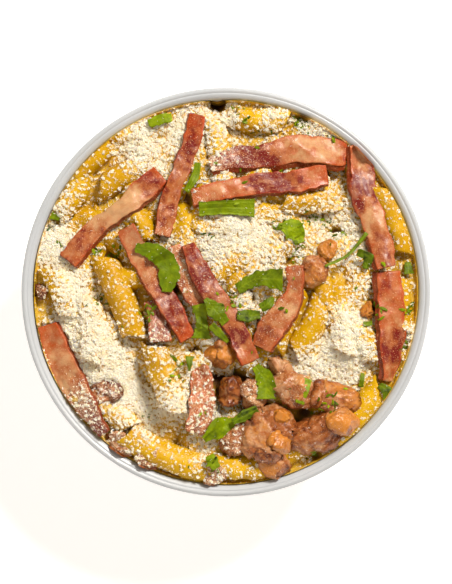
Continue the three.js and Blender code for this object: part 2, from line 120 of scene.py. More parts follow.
# A copy of a node's solid, its triangles paired into quads and subdivided smoothly.
# Its sharp edges keep part of their sharpness.
def refinedCopy(node, levels, crease):
    bm = bmesh.new()
    bm.from_mesh(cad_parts[node].data)
    bmesh.ops.remove_doubles(bm, verts=bm.verts, dist=refining["weld"])
    bmesh.ops.join_triangles(bm, faces=bm.faces, angle_face_threshold=math.radians(refining["pairAngle"]),
                             angle_shape_threshold=math.radians(refining["pairShape"]))
    creases = bm.edges.layers.float.new("crease_edge")
    for edge in bm.edges:
        if edge.is_manifold and edge.calc_face_angle() > math.radians(refining["sharpFrom"]):
            edge[creases] = crease
    rough = link("rough", meshFrom(bm))
    smooth = rough.modifiers.new("smooth", "SUBSURF")
    smooth.levels = smooth.render_levels = levels
    graph = bpy.context.evaluated_depsgraph_get()
    mesh = bpy.data.meshes.new_from_object(rough.evaluated_get(graph))
    bpy.data.meshes.remove(rough.data)
    return mesh


# A smooth line through a few points, evenly spread, and its length
def smoothPath(points, count=80, perSpan=30):
    points = np.array(points, float)
    padded = np.vstack([2 * points[0] - points[1], points, 2 * points[-1] - points[-2]])
    line = []
    for i in range(1, len(padded) - 2):
        a, b, c, d = padded[i - 1:i + 3]
        for t in np.linspace(0, 1, perSpan, endpoint=False):
            line.append(0.5 * (2 * b + (c - a) * t + (2 * a - 5 * b + 4 * c - d) * t * t
                               + (3 * b - a - 3 * c + d) * t ** 3))
    line = np.array(line + [points[-1]])
    run = np.concatenate([[0], np.cumsum(np.hypot(*np.diff(line, axis=0).T))])
    even = np.linspace(0, run[-1], count)
    return np.column_stack([np.interp(even, run, line[:, k]) for k in (0, 1)]), run[-1]


# For every point: its share along the path, and millimetres aside from it. With them come the
# path's length and the direction to its left.
def alongAside(points, path):
    line, length = smoothPath(path)
    heading = np.gradient(line, axis=0)
    heading /= np.hypot(*heading.T)[:, None]
    away = points[:, None, :2] - line[None]
    nearest = np.argmin((away ** 2).sum(axis=2), axis=1)
    off = away[np.arange(len(points)), nearest]
    facing = heading[nearest]
    aside = facing[:, 0] * off[:, 1] - facing[:, 1] * off[:, 0]
    ahead = (facing * off).sum(axis=1)
    share = np.clip(nearest / (len(line) - 1) + ahead / length, 0, 1)
    return share, aside, length, np.column_stack([-facing[:, 1], facing[:, 0]])


# Helpers for materials

# A screen colour, 0 to 255, as linear light
def paint(*screen):
    return tuple(((v / 255 + 0.055) / 1.055) ** 2.4 if v > 10 else v / 3295 for v in screen) + (1.0,)


def put(tree, kind, inputs=None, **settings):
    made = tree.nodes.new(kind)
    for key, value in settings.items():
        setattr(made, key, value)
    for key, value in (inputs or {}).items():
        if isinstance(value, bpy.types.NodeSocket):
            tree.links.new(value, made.inputs[key])
        else:
            made.inputs[key].default_value = value
    return made


def blend(tree, factor, first, second):
    return put(tree, "ShaderNodeMix", {0: factor, 6: first, 7: second}, data_type="RGBA").outputs[2]


def spread(tree, value, low, high, newLow=0.0, newHigh=1.0):
    given = {"Value": value, "From Min": low, "From Max": high, "To Min": newLow, "To Max": newHigh}
    return put(tree, "ShaderNodeMapRange", given).outputs["Result"]


def combine(tree, operation, first, second):
    return put(tree, "ShaderNodeMath", {0: first, 1: second}, operation=operation).outputs[0]


def attribute(tree, name):
    return put(tree, "ShaderNodeAttribute", attribute_name=name).outputs["Fac"]


# A node group that takes a vector and some numbers and gives one number
def newGroup(name, numbers, result):
    tree = bpy.data.node_groups.new(name, "ShaderNodeTree")
    tree.interface.new_socket("Vector", in_out="INPUT", socket_type="NodeSocketVector")
    for label, start in numbers.items():
        tree.interface.new_socket(label, in_out="INPUT", socket_type="NodeSocketFloat").default_value = start
    tree.interface.new_socket(result, in_out="OUTPUT", socket_type="NodeSocketFloat")
    return tree, tree.nodes.new("NodeGroupInput").outputs, tree.nodes.new("NodeGroupOutput").inputs


# Patches: a mask of uneven spots, from 0 to 1
def makePatches():
    tree, given, result = newGroup("patches", {"Scale": 300.0, "Low": 0.4, "High": 0.6}, "Mask")
    spots = put(tree, "ShaderNodeTexNoise", {"Vector": given["Vector"], "Scale": given["Scale"],
                                             "Detail": 3.0, "Roughness": 0.55})
    tree.links.new(spread(tree, spots.outputs["Fac"], given["Low"], given["High"]), result["Mask"])
    return tree


# Grain: a height for bumps, coarse swellings with fine pores in them
def makeGrain():
    tree, given, result = newGroup("grain", {"Scale": 1500.0, "Pores": 0.4}, "Height")
    swell = put(tree, "ShaderNodeTexNoise", {"Vector": given["Vector"], "Scale": given["Scale"],
                                             "Detail": 4.0, "Roughness": 0.6})
    pores = put(tree, "ShaderNodeTexVoronoi", {"Vector": given["Vector"], "Scale": given["Scale"]})
    depth = combine(tree, "MULTIPLY", pores.outputs["Distance"], given["Pores"])
    tree.links.new(combine(tree, "ADD", swell.outputs["Fac"], depth), result["Height"])
    return tree


patchesGroup = makePatches()
grainGroup = makeGrain()


def patches(tree, where, scale, low=0.4, high=0.6):
    given = {"Vector": where, "Scale": scale, "Low": low, "High": high}
    return put(tree, "ShaderNodeGroup", given, node_tree=patchesGroup).outputs["Mask"]


def grainBump(tree, where, scale, strength, depth, pores=0.4):
    given = {"Vector": where, "Scale": scale, "Pores": pores}
    height = put(tree, "ShaderNodeGroup", given, node_tree=grainGroup).outputs["Height"]
    given = {"Height": height, "Strength": strength, "Distance": depth}
    return put(tree, "ShaderNodeBump", given).outputs["Normal"]


# A value made uneven by patches, up to an amount more or less
def uneven(tree, where, value, scale, amount, low=0.3, high=0.7):
    return combine(tree, "ADD", value, spread(
        tree, patches(tree, where, scale, low, high), 0.0, 1.0, -amount, amount))


# A mask of fine cheese, denser where more of it lies
def frost(tree, where, scale, low, high):
    return spread(tree, uneven(tree, where, attribute(tree, "dust"), scale, 0.45), low, high)


# One colour over another, each through its mask
def layered(tree, tone, *layers):
    for mask, colour in layers:
        tone = blend(tree, mask, tone, paint(*colour))
    return tone


def newFinish(name, **constants):
    finish = bpy.data.materials.new(name)
    finish.use_nodes = True
    tree = finish.node_tree
    shader = tree.nodes["Principled BSDF"]
    for label, value in constants.items():
        shader.inputs[label.replace("_", " ")].default_value = value
    return finish, tree, shader, put(tree, "ShaderNodeTexCoord").outputs["Object"]


# The colour, a mask with the roughness it stands for, and the scale, strength and depth of the grain
def dress(made, tone, mask, roughness, grain):
    finish, tree, shader, where = made
    tree.links.new(tone, shader.inputs["Base Color"])
    tree.links.new(spread(tree, mask, *roughness), shader.inputs["Roughness"])
    tree.links.new(grainBump(tree, where, *grain), shader.inputs["Normal"])
    return finish


def paperFinish():
    made = newFinish("coatedPaper", Specular_IOR_Level=0.45, Coat_Weight=0.12)
    _, tree, _, where = made
    fibres, clouds = patches(tree, where, 900.0, 0.3, 0.7), patches(tree, where, 45.0, 0.3, 0.75)
    coated = blend(tree, fibres, paint(177, 182, 189), paint(182, 187, 194))
    coated = blend(tree, clouds, coated, paint(171, 177, 184))
    plain = blend(tree, fibres, paint(142, 146, 151), paint(149, 153, 157))
    tone = blend(tree, attribute(tree, "outside"), coated, plain)
    return dress(made, tone, clouds, (0.0, 1.0, 0.32, 0.42), (1400.0, 0.12, 0.0001))


def pastaFinish():
    made = newFinish("cookedPasta", Subsurface_Weight=0.12, Subsurface_Scale=0.0015, Specular_IOR_Level=0.15,
                     Coat_Weight=0.04, Coat_Roughness=0.2, Subsurface_Radius=(1.0, 0.7, 0.2))
    _, tree, _, where = made
    tone = layered(
        tree, blend(tree, attribute(tree, "tone"), paint(188, 142, 0), paint(204, 162, 4)),
        (patches(tree, where, 110.0, 0.4, 0.75), (177, 130, 2)),
        (frost(tree, where, 1500.0, 0.55, 0.85), (244, 206, 122)))
    wet = patches(tree, where, 260.0, 0.35, 0.65)
    return dress(made, tone, wet, (0.0, 1.0, 0.32, 0.55), (900.0, 0.3, 0.0003, 0.3))


def coreFinish():
    made = newFinish("sauceAndCheese", Subsurface_Weight=0.25, Subsurface_Scale=0.0018,
                     Specular_IOR_Level=0.25, Subsurface_Radius=(1.0, 0.65, 0.25))
    _, tree, _, where = made
    sauce = blend(tree, patches(tree, where, 150.0, 0.35, 0.65), paint(184, 139, 16), paint(206, 169, 55))
    cheese = blend(tree, patches(tree, where, 900.0, 0.4, 0.6), paint(212, 160, 88), paint(246, 222, 170))
    cover = uneven(tree, where, attribute(tree, "dust"), 800.0, 0.3)
    cover = combine(tree, "ADD", cover, spread(tree, attribute(tree, "hill"), 0.0, 1.0, -0.3, 0.3))
    # The darkest colour, at the bottom of pits, is painted shade.
    tone = layered(
        tree, blend(tree, spread(tree, cover, 0.4, 0.8), sauce, cheese),
        (spread(tree, cover, 0.9, 1.35), (255, 243, 214)), (attribute(tree, "pitDepthAndShade"), (76, 46, 16)))
    return dress(made, tone, cover, (0.3, 0.7, 0.35, 0.75), (1500.0, 0.7, 0.0006))


def hamFinish():
    made = newFinish("cookedHam", Subsurface_Weight=0.12, Subsurface_Scale=0.0015, Specular_IOR_Level=0.3,
                     Coat_Weight=0.08, Coat_Roughness=0.25, Subsurface_Radius=(1.0, 0.35, 0.2))
    _, tree, _, where = made
    lean = uneven(tree, where, attribute(tree, "lean"), 240.0, 0.45, 0.36, 0.64)
    crisp = uneven(tree, where, attribute(tree, "crisp"), 600.0, 0.25)
    # The side colour darkens steep faces: partly a fried edge, partly painted shade.
    tone = layered(
        tree, blend(tree, spread(tree, lean, -0.7, 0.1), paint(190, 146, 102), paint(162, 90, 46)),
        (spread(tree, lean, 0.2, 0.85), (108, 18, 9)), (attribute(tree, "streak"), (180, 124, 88)),
        (spread(tree, crisp, 0.3, 1.0, 0.0, 0.8), (173, 67, 15)), (attribute(tree, "side"), (114, 41, 11)),
        (patches(tree, where, 2200.0, 0.6, 0.68), (204, 148, 106)),
        (frost(tree, where, 2400.0, 0.35, 0.95), (240, 212, 178)))
    wet = patches(tree, where, 500.0, 0.35, 0.65)
    return dress(made, tone, wet, (0.0, 1.0, 0.3, 0.55), (1300.0, 0.35, 0.0003))


def baconFinish():
    made = newFinish("friedBacon", Subsurface_Weight=0.15, Subsurface_Scale=0.0015, Specular_IOR_Level=0.35,
                     Coat_Weight=0.12, Coat_Roughness=0.25, Subsurface_Radius=(1.0, 0.4, 0.2))
    _, tree, _, where = made
    lean = uneven(tree, where, attribute(tree, "lean"), 360.0, 0.5, 0.36, 0.64)
    rind = uneven(tree, where, attribute(tree, "rind"), 500.0, 0.25)
    # The crease colour darkens the folds between cells: painted shade.
    tone = layered(
        tree, blend(tree, spread(tree, lean, -0.7, 0.0), paint(184, 134, 92), paint(150, 84, 36)),
        (spread(tree, lean, 0.2, 1.0), (87, 33, 9)), (spread(tree, rind, 0.5, 0.85), (187, 118, 40)),
        (attribute(tree, "crease"), (96, 40, 14)), (patches(tree, where, 1300.0, 0.6, 0.72), (178, 120, 71)),
        (frost(tree, where, 2400.0, 0.35, 0.9), (238, 210, 172)))
    wet = patches(tree, where, 500.0, 0.35, 0.65)
    return dress(made, tone, wet, (0.0, 1.0, 0.25, 0.5), (1100.0, 0.5, 0.0003))


def leafFinish():
    made = newFinish("parsleyLeaf", Subsurface_Weight=0.08, Subsurface_Scale=0.0008,
                     Specular_IOR_Level=0.15, Subsurface_Radius=(0.7, 1.0, 0.1))
    _, tree, _, where = made
    tone = layered(
        tree, blend(tree, attribute(tree, "tone"), paint(22, 36, 0), paint(143, 163, 0)),
        (patches(tree, where, 420.0, 0.35, 0.7), (90, 112, 0)), (attribute(tree, "vein"), (150, 168, 30)))
    return dress(made, tone, patches(tree, where, 700.0), (0.0, 1.0, 0.36, 0.55), (1500.0, 0.5, 0.0003))


def cheeseFinish():
    made = newFinish("gratedCheese", Subsurface_Weight=0.4, Subsurface_Scale=0.001,
                     Specular_IOR_Level=0.15, Subsurface_Radius=(1.0, 0.65, 0.3))
    _, tree, _, where = made
    tone = layered(
        tree, blend(tree, attribute(tree, "tone"), paint(255, 246, 218), paint(255, 252, 238)),
        (patches(tree, where, 260.0, 0.5, 0.8), (255, 238, 192)))
    return dress(made, tone, patches(tree, where, 900.0), (0.0, 1.0, 0.5, 0.7), (3000.0, 0.3, 0.0001))


coatedPaper = paperFinish()
cookedPasta = pastaFinish()
sauceAndCheese = coreFinish()
cookedHam = hamFinish()
friedBacon = baconFinish()
parsleyLeaf = leafFinish()
gratedCheese = cheeseFinish()
print("finishes ready")

# The bowl, as in the solid

bowl = {
    "rim": 75.0, "foot": 64.0, "wall": 0.9, "wallTop": 57.4, "wallTopRadius": 71.5, "floorLift": 6.0,
    "steps": 240, "weld": 1e-6, "cut": 1e-7,
    "seam": {"at": -50.5, "width": 6.5, "rise": 0.28, "ramp": 0.12, "soft": 0.05, "atRim": 0.45},
    "floorRings": (0, 20, 44, 61.6),
    "footEdge": [
        (62.6, 5.7), (62.9, 5.0), (62.5, 2.4), (62.3, 0.5), (62.7, 0.08), (63.2, 0), (63.7, 0.08),
        (64.0, 0.5),
    ],
    "rolledRim": [
        (71.7, 57.05), (72.3, 56.95), (72.9, 56.9), (73.7, 57.0), (74.4, 57.35), (74.8, 57.85), (75.0, 58.5),
        (74.9, 59.1), (74.6, 59.6), (74.15, 59.9), (73.75, 59.97), (73.4, 59.87), (73.15, 59.74),
        (73.02, 59.62), (72.88, 59.62), (72.75, 59.7), (72.5, 59.72), (72.1, 59.62), (71.6, 59.35),
        (71.1, 59.0), (70.8, 58.6), (70.65, 58.0), (70.6, 57.2),
    ],
}


def outerWallAt(z):
    return bowl["foot"] + (bowl["wallTopRadius"] - bowl["foot"]) * z / bowl["wallTop"]


def innerWallAt(z):
    return outerWallAt(z) - bowl["wall"]


def cutAlong(bm, angle):
    bmesh.ops.bisect_plane(bm, geom=bm.verts[:] + bm.edges[:] + bm.faces[:], dist=bowl["cut"],
                           plane_co=(0, 0, 0), plane_no=(-math.sin(angle), math.cos(angle), 0))


def makeBowl():
    seam, lift = bowl["seam"], bowl["floorLift"]
    floorTop = lift + bowl["wall"]
    outline = [(radius, lift) for radius in bowl["floorRings"]] + bowl["footEdge"]
    outline += [(outerWallAt(z), z) for z in np.linspace(1.2, 56.6, 24)] + bowl["rolledRim"]
    outline += [(innerWallAt(z), z) for z in np.linspace(56.0, floorTop + 1.5, 14)]
    outline += [(62.6, floorTop + 0.4), (61.8, floorTop), (44, floorTop), (20, floorTop), (0, floorTop)]
    bm = spun([(radius * mm, 0, z * mm) for radius, z in outline], (0, 0, 1), bowl["steps"])
    halfSeam = math.degrees(seam["width"] / 2 / bowl["wallTopRadius"])
    for turn in (-halfSeam, halfSeam):
        for nearby in (-seam["ramp"], seam["ramp"]):
            cutAlong(bm, math.radians(seam["at"] + turn + nearby))
    bmesh.ops.remove_doubles(bm, verts=bm.verts, dist=bowl["weld"])
    bmesh.ops.recalc_face_normals(bm, faces=bm.faces)
    mesh = meshFrom(bm)
    points = coordsOf(mesh)
    height = points[:, 2]
    turn = np.degrees(np.arctan2(points[:, 1], points[:, 0])) - seam["at"]
    out = outOf(points)
    onSeam = 1 - ease(np.abs(turn), halfSeam - seam["soft"], halfSeam + seam["soft"])
    outside = ease(out - outerWallAt(height), -0.3, -0.1) * ease(height, 0.6, 1.4)
    rise = seam["rise"] * onSeam * outside * (1 - seam["atRim"] * ease(height, 57, 58))
    rise = rise - np.maximum(out + rise - bowl["rim"], 0)
    points[:, :2] *= (1 + rise / np.maximum(out, 1))[:, None]
    setCoords(mesh, points)
    below = ease(innerWallAt(height) - out, 0.2, 0.6) * (height < lift + 0.1)
    mark(mesh, "outside", np.maximum(outside * (1 - ease(height, 55.5, 57.2)), below))
    return asPiece("paper_bowl", mesh, coatedPaper, "white_paper", "bowl")


makeBowl()
print("bowl made")

# The heap, as in the solid: the swellings of its top, where cheese lies, and deep places whose bottoms are
# painted dark as shade

heap = {
    "edge": 56.6, "dome": 6.5, "domePower": 2.4, "reach": 70.0, "ripple": (0.55, 0.45), "calm": 0.6,
    "cover": 0.5, "leastCover": 0.25, "moundFrom": 1.5, "moundShare": 0.8,
}
drifts = [  # x, y, reach, rise
    (-47, -26, 11, 3.0), (-58, 12, 11, 1.6), (-34, 55, 12, 1.4), (7, 20, 15, 1.8), (40, -20, 13, 2.6),
    (26, 64, 9, 1.2), (-14, -40, 9, 1.6), (-31, -31, 5, -3.2), (-3, 68.5, 4, -4.5), (3, -38, 7, -3.0),
    (4, -3, 5, -2.4), (-27, 2, 6, -2.4), (44, 47, 5, -4.0), (35, 27, 6, -1.8), (54, 5, 7, -1.6),
    (-62, -10, 5, -1.2), (-56, 34, 7, -1.6), (0, 22, 11, 1.8), (34, 60, 6, 1.6), (-57, -15, 7, 2.4),
    (-51, -29, 6, 1.6), (45, -26, 5, 1.4),
]
# Where there is less cheese the darker sauce shows; some of these spots are there to darken shaded places:
# painted shade, besides bare pasta.
cheeseSpots = [  # x, y, reach, how much more or less cheese lies there
    (-55, -15, 10, 0.6), (-48, -25, 11, 0.7), (-38, -37, 9, 0.6), (-63, 20, 9, 0.5), (-56, 2, 9, 0.5),
    (-55, 28, 5, -0.35), (-33, 53, 11, 0.5), (-14, 60, 7, 0.4), (-2, 63, 8, 0.3), (17, 62, 8, 0.35),
    (35, 60, 9, 0.4), (3, 20, 13, 0.42), (-6, 18, 9, 0.25), (26, 29, 9, 0.15), (42, 29, 8, 0.12),
    (45, 19, 9, 0.25), (44, -14, 9, 0.6), (43, -28, 10, 0.7), (29, -28, 9, 0.4), (10, -5, 6, 0.3),
    (-10, -58, 7, 0.4), (28, -61, 5, 0.4), (67, -15, 5, 0.4), (-18, -36, 8, 0.3), (-9, -46, 9, 0.4),
    (-30, -47, 8, 0.2), (-48, 50, 7, -0.5), (-45, 56, 5, -0.2), (-51, 43, 7, -0.4), (-40, 42, 7, -0.45),
    (-45, 33, 7, -0.3), (-39, 59, 5, -0.2), (-30, 25, 5, -0.6), (-39, 1, 9, -0.5), (-35, -12, 6, -0.3),
    (-65, 4, 6, -0.5), (-46, 13, 6, -0.45), (-57, -5, 5, -0.25), (-68, -5, 6, -0.6), (-54, -12, 4, -0.3),
    (-14, 28, 7, -0.4), (10, 66, 5, -0.45), (23, 60, 5, -0.5), (8, 57, 6, -0.4), (-5, 57, 7, -0.25),
    (17, 33, 6, -0.35), (29, 34, 6, -0.45), (57, 41, 7, -0.5), (61, 27, 8, -0.55), (65, 15, 8, -0.5),
    (67, 4, 7, -0.4), (67, -8, 5, -0.4), (38, 4, 6, -0.6), (2, 8, 6, -0.35), (29, -2, 5, -0.4),
    (27, -13, 10, -0.6), (15, -20, 7, -0.5), (51, -16, 4, -0.4), (-24, -33, 6, -0.3), (53, -41, 12, -0.6),
    (62, -30, 7, -0.4), (39, -53, 9, -0.5), (26, -63, 7, -0.5), (6, -63, 12, -0.6), (-21, -60, 12, -0.6),
    (-34, -57, 6, -0.25), (-25, -51, 5, 0.3), (-40, -44, 8, -0.25), (-28, -25, 6, -0.3),
    (-14, 40, 5, -0.3), (26, -46, 8, -0.5), (22, -54, 6, -0.4),
]
# Pits: deep places in the bed; their bottoms get a dark brown, painted shade.
pits = [  # x, y, reach, depth
    (-3, 69.5, 2.6, 6), (41.5, 42.5, 4.5, 6), (4, -37, 7, 5), (4, -3, 5, 3), (-15, 34, 3, 3),
    (-19, 1.5, 3, 3), (31, 27.5, 4, 4), (-2, -30, 4, 4), (40, 21, 3.2, 3), (37, 33, 3, 2.4),
    (48, 27, 3, 2.4), (22, 12, 3, 2.4), (-12, -21, 3, 2.4), (29, 66, 3.4, 3), (-62, 27, 3, 2),
    (33, -60, 3, 2), (12, -9, 3.4, 3), (-40, 14, 3.4, 2.4), (-46, 13.5, 3, 2.2), (-55, 27, 3, 2),
    (-24, -8, 4, 2.4), (54, -6, 4, 2.5), (-14, -49, 3, 2), (29, -43.5, 4, 2.4), (13, -44, 4, 3),
    (25, -49, 3, 2),
]


def sumOfSpots(spots, x, y):
    total = np.zeros(np.shape(x))
    for midX, midY, reach, amount in spots:
        total = total + amount * np.exp(-((x - midX) ** 2 + (y - midY) ** 2) / reach ** 2)
    return total


def heapHeight(x, y):
    out = np.minimum(np.hypot(x, y) / heap["reach"], 1)
    height = heap["edge"] + heap["dome"] * (1 - out ** heap["domePower"]) + sumOfSpots(drifts, x, y)
    first, second = heap["ripple"]
    calm = 1 - heap["calm"] * out ** 6
    height = height + first * calm * np.sin(x * 0.31 + 1.3) * np.cos(y * 0.27 - 0.4)
    return height + second * calm * np.sin(x * 0.17 - y * 0.23 + 2.1)


mounds = [(x, y, reach * heap["moundShare"], 1) for x, y, reach, rise in drifts if rise > heap["moundFrom"]]


def moundAt(x, y):
    return np.clip(sumOfSpots(mounds, x, y), 0, 1)


def thickAt(x, y):
    return heap["cover"] + sumOfSpots(cheeseSpots, x, y)


def cheeseAt(x, y):
    return np.clip(thickAt(x, y), heap["leastCover"], 1)


# Toppings near the wall lie lower and a little further out, and none reaches over the rim
nearWall = {
    "lower": 3.0, "lowerFrom": (59, 68), "lowerUntil": (69.8, 71.8), "push": 0.8, "pushFrom": (60, 68),
    "inside": 71.2, "fade": (75, 72),
}


def settle(points):
    out = outOf(points)
    lower = ease(out, *nearWall["lowerFrom"]) * (1 - ease(out, *nearWall["lowerUntil"]))
    points[:, 2] -= nearWall["lower"] * lower
    points[:, :2] *= (1 + nearWall["push"] * ease(out, *nearWall["pushFrom"]) / np.maximum(out, 1))[:, None]
    out = outOf(points)
    inward = np.minimum(nearWall["inside"] / np.maximum(out, 1), 1) ** ease(out, *nearWall["fade"])
    points[:, :2] *= inward[:, None]


# Cheese settles on what faces up
facingUp = (0.1, 0.5)

# Strips of ham: the middle line, the widths along it, how far its left side leans out, and stops
# along it: share, lean (-1 fat, 0 pink, 1 dark red), crisp, cheese on it

ham = {
    "levels": 3, "crease": 0.72, "lumps": 0.45, "lumpSize": 4.6, "fibres": 0.05, "waves": 0.36,
    "waveSize": 2.2, "thick": 2.7, "edges": 0.6, "edgeSize": 4.2, "twist": 1.2, "twistSize": 8.0,
    "warp": 0.09, "warpSize": 3.2, "streaks": 0.42, "streakSize": 1.5, "crispEdge": 0.5, "bins": 40,
    "side": 0.8, "crust": 0.32, "crustCrease": 0.1, "crustLumps": 3.2,
    "wider": {1: 1.2, 3: 1.14, 11: 1.05, 13: 1.16},
}
strips = [
    ([(-19, 17), (-16, 9), (-12, 1), (-8, -6)], [4, 6, 7, 6], -0.4,
     [(0, -0.2, 0.6, 0.4), (0.3, -0.3, 0.4, 0.3), (0.6, 0.2, 0.2, 0.3), (1, 0.5, 0.2, 0.2)]),
    # This strip is dark red partly by its own colour and partly as painted shade.
    ([(-27, -3), (-24.5, -10.5), (-24, -18)], [6, 7.4, 7], 0.4,
     [(0, 0.7, 0.1, 0.15), (0.5, 1, 0.1, 0.25), (1, 0.6, 0.2, 0.4)]),
    ([(24, 9.5), (24.5, 0.5), (21.5, -6), (16, -12.5), (12.5, -20.5)], [6.5, 6, 8.5, 10, 7], 1.2,
     [(0, -0.3, 0.8, 0.25), (0.25, -0.4, 0.6, 0.1), (0.45, -0.4, 0.4, 0.2), (0.65, 0.1, 0.2, 0.2),
     (0.85, 0.3, 0.3, 0.15), (1, 0, 0.5, 0.1)]),
    ([(-10, -27), (-8.5, -36), (-9.5, -44), (-11.5, -52)], [7, 9.5, 9.5, 7], 0.3,
     [(0, 0.2, 0.6, 0.3), (0.5, 0, 0.5, 0.37), (1, 0.3, 0.4, 0.34)]),
    ([(-36.5, 23.5), (-31.5, 14.5), (-25.5, 3.5), (-19.5, -5.5), (-13.5, -17)], [6.5, 8, 8.4, 8, 6], -0.7,
     [(0, -0.2, 0.7, 0.05), (0.12, -0.6, 0.5, 0), (0.3, -0.1, 0.3, 0.1), (0.45, 0.2, 0.1, 0.2),
     (0.6, 0.35, 0.1, 0.15), (0.72, 0.8, 0.15, 0.1), (0.86, 0.6, 0.5, 0.05), (1, 0.2, 1, 0)]),
    ([(-13.5, 17.5), (-8.5, 6), (-1.5, -5), (4.5, -15), (9, -25.5)], [5.5, 8.6, 8.4, 7.4, 7], -0.7,
     [(0, 0.6, 0.4, 0.05), (0.15, 1, 0.1, 0.05), (0.27, 0.9, 0.1, 0.1), (0.36, 0.7, 0.1, 0.1),
     (0.55, 0.3, 0.1, 0.1), (0.68, 0.3, 0.1, 0), (0.78, 0.9, 0.1, 0), (0.86, 0.3, 0.3, 0),
     (1, 0.1, 0.7, 0)]),
    ([(-58, 11.5), (-47, 24.5), (-35.5, 33), (-24, 43)], [7.6, 7.8, 6.8, 9, 7], -1.3,
     [(0, 0.2, 0.5, 0), (0.12, 0.4, 0.2, 0), (0.25, 0.6, 0.1, 0.05), (0.38, -0.5, 0.1, 0.1),
     (0.5, -1, 0.05, 0), (0.7, -0.9, 0.05, 0), (0.8, -0.1, 0.1, 0), (0.88, 0.9, 0.2, 0), (1, 0.4, 0.9, 0)]),
    ([(-10.5, 64.5), (-12.5, 54.5), (-18, 40.5), (-21.5, 28), (-23, 20.5)], [6, 6.4, 6, 7.2, 6], -0.6,
     [(0, 0.5, 0.9, 0), (0.12, 0.7, 0.6, 0), (0.25, 1, 0.2, 0.1), (0.36, 0.2, 0.1, 0.1),
     (0.5, 0.35, 0.1, 0), (0.62, 0.5, 0.1, 0), (0.72, 0.1, 0.1, 0), (0.85, 0.7, 0.1, 0.1),
     (1, 0, 0.3, 0.3)]),
    ([(-6, 46.5), (2, 49), (13, 50.5), (27, 52.4), (44, 50.5)], [6.5, 9, 10, 10, 9], -2.2,
     [(0, 0.6, 0.2, 0.6), (0.15, 1, 0, 0.3), (0.38, 1, 0, 0.15), (0.5, 0.4, 0.2, 0.1), (0.62, -0.3, 0.3, 0),
     (0.85, -0.5, 0.4, 0), (0.96, 0.2, 0.5, 0), (1, 0.5, 0.8, 0)]),
    ([(-12.5, 34.5), (0, 37.7), (13, 39.7), (26.5, 41), (37, 42.8)], [6.5, 7.4, 7.8, 8.8, 7.4], -1.1,
     [(0, -0.2, 0.7, 0.3), (0.2, -0.4, 0.6, 0.1), (0.4, 0.2, 0.5, 0), (0.48, 1, 0.2, 0), (0.68, 1, 0.1, 0),
     (0.8, 0.2, 0.5, 0), (1, 0.1, 0.9, 0)]),
    ([(59.5, 7.5), (60, -2.5), (61, -15), (61, -25), (60, -32.6)], [7.5, 8.6, 9, 9, 6], -2.0,
     [(0, 0.3, 0.6, 0), (0.2, 0.4, 0.5, 0), (0.45, -0.1, 0.5, 0), (0.6, 0.6, 0.2, 0), (0.75, 0.9, 0.2, 0),
     (0.9, 0.1, 0.4, 0), (1, -0.3, 0.3, 0.1)]),
    ([(47, 53.5), (49.4, 45.5), (50.5, 37.5), (53.4, 29), (56.7, 19), (59, 9)],
     [5, 8.4, 8.2, 7.2, 8, 7.4], -1.7,
     [(0, -0.2, 0.5, 0), (0.15, -0.2, 0.3, 0), (0.28, 1, 0.1, 0), (0.42, 0.95, 0.1, 0.05),
     (0.52, -0.2, 0.3, 0.1), (0.62, -0.6, 0.4, 0), (0.75, 0.1, 0.2, 0), (0.9, 0.4, 0.2, 0),
     (1, 0.3, 0.4, 0)]),
    ([(-65, -12), (-62.5, -20), (-57, -32.5), (-50.5, -43), (-44.5, -51.5)], [6, 8, 8.6, 7, 4], 1.0,
     [(0, 0.2, 0.8, 0), (0.2, -0.2, 0.5, 0), (0.45, -0.4, 0.3, 0.1), (0.65, 0.2, 0.1, 0.55),
     (0.85, 0.8, 0, 0.4), (1, 0.9, 0, 0.25)]),
]


